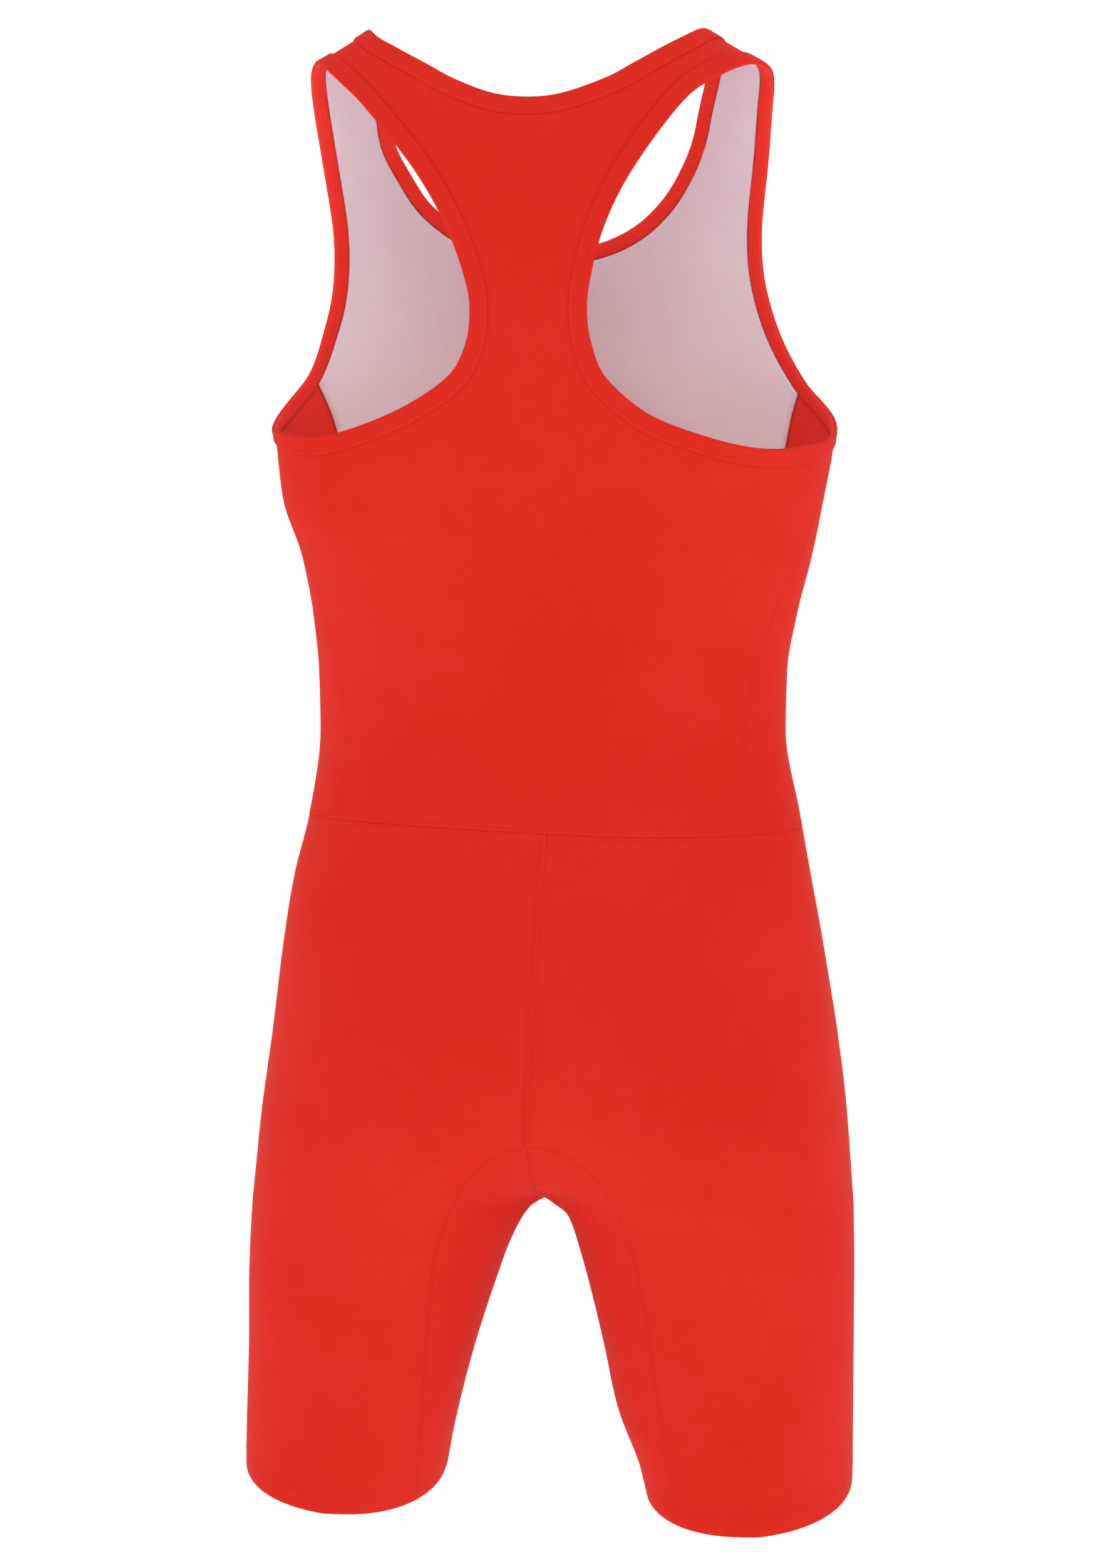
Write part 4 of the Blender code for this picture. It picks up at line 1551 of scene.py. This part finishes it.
@dataclass
class Sewing:
    """All the stitches of one kind of seam, as one piece."""

    name: str
    rows: list[tuple[Line, Stitch]]
    thread: Thread = RED_THREAD
    rings: int = 4
    columns: int = 6
    joined: float = 0.01

    def _ball(self) -> bpy.types.Mesh:
        """Makes a ball with its faces in the same order each run, which the primitive lacks.

        Returns:
            The mesh, of radius 1.
        """
        rows = []
        for ring in range(self.rings + 1):
            down = math.pi * ring / self.rings
            turns = [2 * math.pi * i / self.columns for i in range(self.columns + 1)]
            out, up = math.sin(down), math.cos(down)
            rows.append([Vector((out * math.sin(turn), out * math.cos(turn), up)) for turn in turns])
        bm = bmesh.new()
        lay_patch(bm, rows)
        bmesh.ops.remove_doubles(bm, verts=bm.verts, dist=self.joined)
        bmesh.ops.recalc_face_normals(bm, faces=bm.faces)
        ball = bpy.data.meshes.new("stitch")
        bm.to_mesh(ball)
        bm.free()
        return ball

    def build(self, form: Form, finish: bpy.types.Material) -> bpy.types.Object:
        """Sets one small thread shape at the place of each stitch.

        Args:
            form: the form that the stitches lie on.
            finish: the thread's material.

        Returns:
            The piece.
        """
        bm, ball = bmesh.new(), self._ball()
        for line, kind in self.rows:
            for matrix in kind.places(line, form):
                placed = ball.copy()
                placed.transform(matrix)
                bm.from_mesh(placed, face_normals=False, vertex_normals=False)
                bpy.data.meshes.remove(placed)
        bpy.data.meshes.remove(ball)
        bm.normal_update()
        return make_piece(self.name, bm, [finish], Slot.RED)


@dataclass
class Suit:
    """The whole suit."""

    form: Form = field(default_factory=Form)
    cloth: Cloth = field(default_factory=Cloth)
    count: Count = field(default_factory=Count)

    def __post_init__(self) -> None:
        """Lays out the pattern and makes the materials."""
        self.pattern = Pattern(self.form, self.cloth, self.count)
        kinds = (RED_KNIT, BAND_KNIT, WRONG_SIDE, LINING_KNIT, RED_THREAD, LOOPER_THREAD)
        self.finishes = {finish: finish.material() for finish in kinds}

    def leg_wall(self, side: Side, point: Vector) -> float:
        """The wall of a leg, which is double in its turned hem.

        Args:
            side: the wearer's side.
            point: a place on the leg.

        Returns:
            The wall there.
        """
        section = self.form.sections.at(point.z)
        level = point.z - section.tilt * (point.y - section.middle)
        top = self.form.hems[side] + self.cloth.hem_depth + self.cloth.wall / 2
        top += self.form.hem_rise * self.form.rise_share(side, point.x, level)
        return self.cloth.hem_wall if level < top else self.cloth.wall

    def panels(self) -> list[Panel]:
        """Cuts every panel.

        Returns:
            The panels, each with the size that it was cut to.
        """
        pattern, cloth = self.pattern, self.cloth
        self.legs = {side: pattern.leg(side) for side in Side}
        self.inner_legs = {side: pattern.inner_leg(side) for side in Side}
        self.backs, self.fronts = pattern.back(), pattern.front()
        self.sides = {side: pattern.side(side) for side in Side}
        outer = self.fronts + pattern.front_strips(cloth.edge)
        lining = self.fronts + pattern.front_strips(cloth.lining_stop)
        panels = [
            Panel("back_panel", ("back",), self.backs, RED_KNIT, (0.385, 0.495)),
            Panel("front_panel", ("front",), outer, RED_KNIT, (0.34, 0.495)),
            Panel(
                "front_lining_panel", ("front_lining",), lining, LINING_KNIT, (0.34, 0.49),
                depth=cloth.wall + cloth.gap,
            ),
        ]
        for side in Side:
            word, wall = side.word, partial(self.leg_wall, side)
            legs = ([self.legs[side]], (0.45, 0.46)), ([self.inner_legs[side]], (0.24, 0.27))
            panels.append(Panel(
                f"side_panel_{word}", (f"side_{word}",), self.sides[side], RED_KNIT, (0.135, 0.275)
            ))
            for name, (sheets, flat) in zip(("leg", "inner_leg"), legs):
                nodes = (f"{name}_{word}",)
                panels.append(Panel(f"{name}_panel_{word}", nodes, sheets, RED_KNIT, flat, wall=wall))
        return panels

    def bindings(self) -> list[Binding]:
        """Cuts the strips round the neck and the armholes.

        Returns:
            The strips.
        """
        found = [Binding("neck_strip", "neck_binding", self.pattern.neck)]
        for side, hole in self.pattern.holes.items():
            found.append(Binding(f"armhole_strip_{side.word}", f"armhole_binding_{side.word}", hole))
        return found

    def band_stitches(self) -> Sewing:
        """Sews two rows on the outside of every binding.

        Returns:
            The stitches.
        """
        return Sewing("binding_stitches", [
            (edge.ring(distance, self.cloth.band_lift), BAND_STITCH)
            for edge in self.bound_edges() for distance in self.cloth.band_rows
        ])

    def looper_stitches(self) -> Sewing:
        """Sews two rows on the inside of every binding, and small loops over its inner edge.

        Returns:
            The stitches.
        """
        rows, (lift, edge_lift) = [], self.cloth.looper_lifts
        for edge in self.bound_edges():
            rows += [(edge.ring(distance, lift), LOOPER_STITCH) for distance in self.cloth.looper_rows]
            rows.append((edge.ring(self.cloth.band_inside, edge_lift), EDGE_LOOP))
        return Sewing("looper_stitches", rows, LOOPER_THREAD)

    def bound_edges(self) -> list[Edge]:
        """The edges that have a binding."""
        return [self.pattern.neck, *self.pattern.holes.values()]

    def hem_stitches(self) -> Sewing:
        """Sews two rows round each turned hem.

        Returns:
            The stitches.
        """
        rows, form = [], self.form
        for side in Side:
            for down in self.cloth.hem_rows:
                level = form.hems[side] + (self.cloth.hem_depth - down)
                place = (side * side.of(form.arch_seam.at(level)), level)
                outside = form.round_the_side(side, place, level, place)
                inside = self.pattern.round_inside(side, place, level)
                for line in ([form.lift_hem(side, point) for point in outside], inside):
                    rows.append((line, HEM_STITCH))
        return Sewing("hem_stitches", rows)

    def seam_stitches(self) -> Sewing:
        """Sews the rows beside the waist, centre, side, arched and crotch seams.

        Returns:
            The stitches.
        """
        rows = []
        for i, side in enumerate(Side):
            lower_back, front = self.backs[4 * i], self.fronts[i]
            leg, inner, under = self.legs[side], self.inner_legs[side], self.sides[side][0]
            seat, below = leg[:self.count.seat + 1], leg[self.count.seat:]
            for sheet in (lower_back, front, under):
                rows += [kind.beside(turned(sheet)) for kind in (TOP_STITCH, JOIN_STITCH)]
            if side is Side.LEFT:
                rows += [FLAT_STITCH.beside(sheet) for sheet in (seat, reversed_rows(seat))]
            beside_side = (lower_back, front[:self.count.seam + 1])
            rows += [SIDE_STITCH.beside(sheet) for sheet in beside_side]
            rows += [ARCH_STITCH.beside(sheet) for sheet in (below, reversed_rows(below))]
            if side is Side.LEFT:
                rows.append(CROTCH_STITCH.beside(turned(inner)))
        return Sewing("seam_stitches", rows)

    def build(self) -> None:
        """Builds the whole suit."""
        built: dict[str, bpy.types.Object] = {}
        look, panels = self.finishes, self.panels()
        for panel in panels:
            wrong = LINING_KNIT if panel.knit is LINING_KNIT else WRONG_SIDE
            built[panel.name] = panel.build(self.form, [look[panel.knit], look[wrong]])
        for binding in self.bindings():
            built[binding.name] = binding.build([look[BAND_KNIT], look[WRONG_SIDE]])
        sewings = (self.band_stitches, self.looper_stitches, self.hem_stitches, self.seam_stitches)
        for sewing in [sew() for sew in sewings]:
            built[sewing.name] = sewing.build(self.form, look[sewing.thread])
        trims = {
            "back_panel": ["armhole_strip_left", "armhole_strip_right", "binding_stitches"],
            "front_panel": ["neck_strip", "looper_stitches"],
            "leg_panel_left": ["hem_stitches", "seam_stitches"],
        }
        for panel in panels:
            with_pieces = [built[name] for name in trims.get(panel.name, [])]
            built[panel.name]


class Softbox(NamedTuple):
    """A square soft light: its place and side in metres and its power."""

    name: str
    place: Triple
    size: float
    power: float


@dataclass
class Studio:
    """The pale floor, the pale surround, the soft lights and the camera."""

    paper: Triple = (0.93, 0.93, 0.93)
    grain: float = 0.985
    glow: float = 0.38
    reach: float = 25000.0
    floor: float = -1150.0
    camera_at: Triple = (194.7, -2191.6, -233.0)
    target: Triple = (3.0, 0.0, -445.4)
    lens: float = 54.8
    sensor: float = 24.0
    clip: tuple[float, float] = (0.05, 50.0)
    aim: Triple = (0.0, 0.0, -0.45)
    behind: float = 0.5
    ahead: float = 0.56
    backdrop: float = 1.06
    lights: tuple[Softbox, ...] = (
        Softbox("left_softbox", (-2.2, -0.5, 0.1), 1.4, 8.6),
        Softbox("right_softbox", (2.2, -0.5, 0.1), 1.4, 8.6),
        Softbox("near_softbox", (0.1, -2.6, 0.8), 1.4, 15.2),
        Softbox("overhead_softbox", (0.0, -0.2, 1.8), 1.6, 8.7),
    )

    def build(self) -> None:
        """Builds the studio round the suit."""
        bpy.context.scene.view_settings.view_transform = "Standard"
        self._paper_floor()
        self._camera()
        for light in self.lights:
            self._softbox(light)
        self._surround()

    def _paper_floor(self) -> None:
        """Lays a wide flat floor of pale paper that glows a little under the suit."""
        bm = bmesh.new()
        bmesh.ops.create_grid(bm, x_segments=1, y_segments=1, size=self.reach)
        bmesh.ops.translate(bm, vec=(0, 0, self.floor), verts=bm.verts)
        material = bpy.data.materials.new("pale_paper")
        graph = Graph(material)
        grain = graph.noise(graph.node("ShaderNodeTexCoord")["Object"], 40.0, 3.0)
        colour = graph.blend(grain, self.paper, tuple(part * self.grain for part in self.paper))
        shader = graph.node("ShaderNodeBsdfPrincipled", None, {
            "Base Color": colour, "Roughness": 0.9,
            "Emission Color": (1.0, 1.0, 1.0), "Emission Strength": self.glow,
        })
        graph.node("ShaderNodeOutputMaterial", None, {"Surface": shader["BSDF"]})
        make_object("paper_floor", bm, [material])

    def _place(self, name: str, data: bpy.types.ID, at: Vector, target: Vector) -> bpy.types.Object:
        """Sets a camera or a light at a place and points it at another.

        Args:
            name: its name.
            data: the camera or the light.
            at: its place in metres.
            target: what it looks at, in metres.

        Returns:
            Its object.
        """
        made = bpy.data.objects.new(name, data)
        made.location = at
        made.rotation_euler = (target - made.location).to_track_quat("-Z", "Y").to_euler()
        bpy.context.scene.collection.objects.link(made)
        return made

    def _camera(self) -> None:
        """Sets the camera at the photograph's viewing angle."""
        data = bpy.data.cameras.new("photo_camera")
        data.sensor_fit, data.sensor_height, data.lens = "VERTICAL", self.sensor, self.lens
        data.clip_start, data.clip_end = self.clip
        at, target = Vector(self.camera_at) * MM, Vector(self.target) * MM
        bpy.context.scene.camera = self._place("photo_camera", data, at, target)

    def _softbox(self, light: Softbox) -> None:
        """Sets a light that the camera doesn't see.

        Args:
            light: its place, size and power.
        """
        data = bpy.data.lights.new(light.name, "AREA")
        data.shape, data.size, data.energy = "SQUARE", light.size, light.power
        made = self._place(light.name, data, Vector(light.place), Vector(self.aim))
        made.visible_camera = False

    def _surround(self) -> None:
        """Fills the surround with pale light, brighter ahead, and shows the camera an even white."""
        world = bpy.data.worlds.new("studio_surround")
        bpy.context.scene.world = world
        graph = Graph(world)
        way = graph.node("ShaderNodeTexCoord")["Generated"]
        ahead = graph.node("ShaderNodeSeparateXYZ", None, {"Vector": way})["Y"]
        lit = self.behind + ahead.step(0.1, 0.7) * self.ahead
        seen = graph.node("ShaderNodeLightPath")["Is Camera Ray"]
        surround = graph.node("ShaderNodeBackground", None, {
            "Color": (1.0, 1.0, 1.0), "Strength": lit + seen * (self.backdrop - lit),
        })
        graph.node("ShaderNodeOutputWorld", None, {"Surface": surround["Background"]})


def main() -> None:
    """Builds the suit and its studio."""
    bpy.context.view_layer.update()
    Suit().build()
    Studio().build()


if __name__ == "__main__":
    logging.basicConfig(level=logging.INFO, format="%(name)s: %(message)s")
    main()
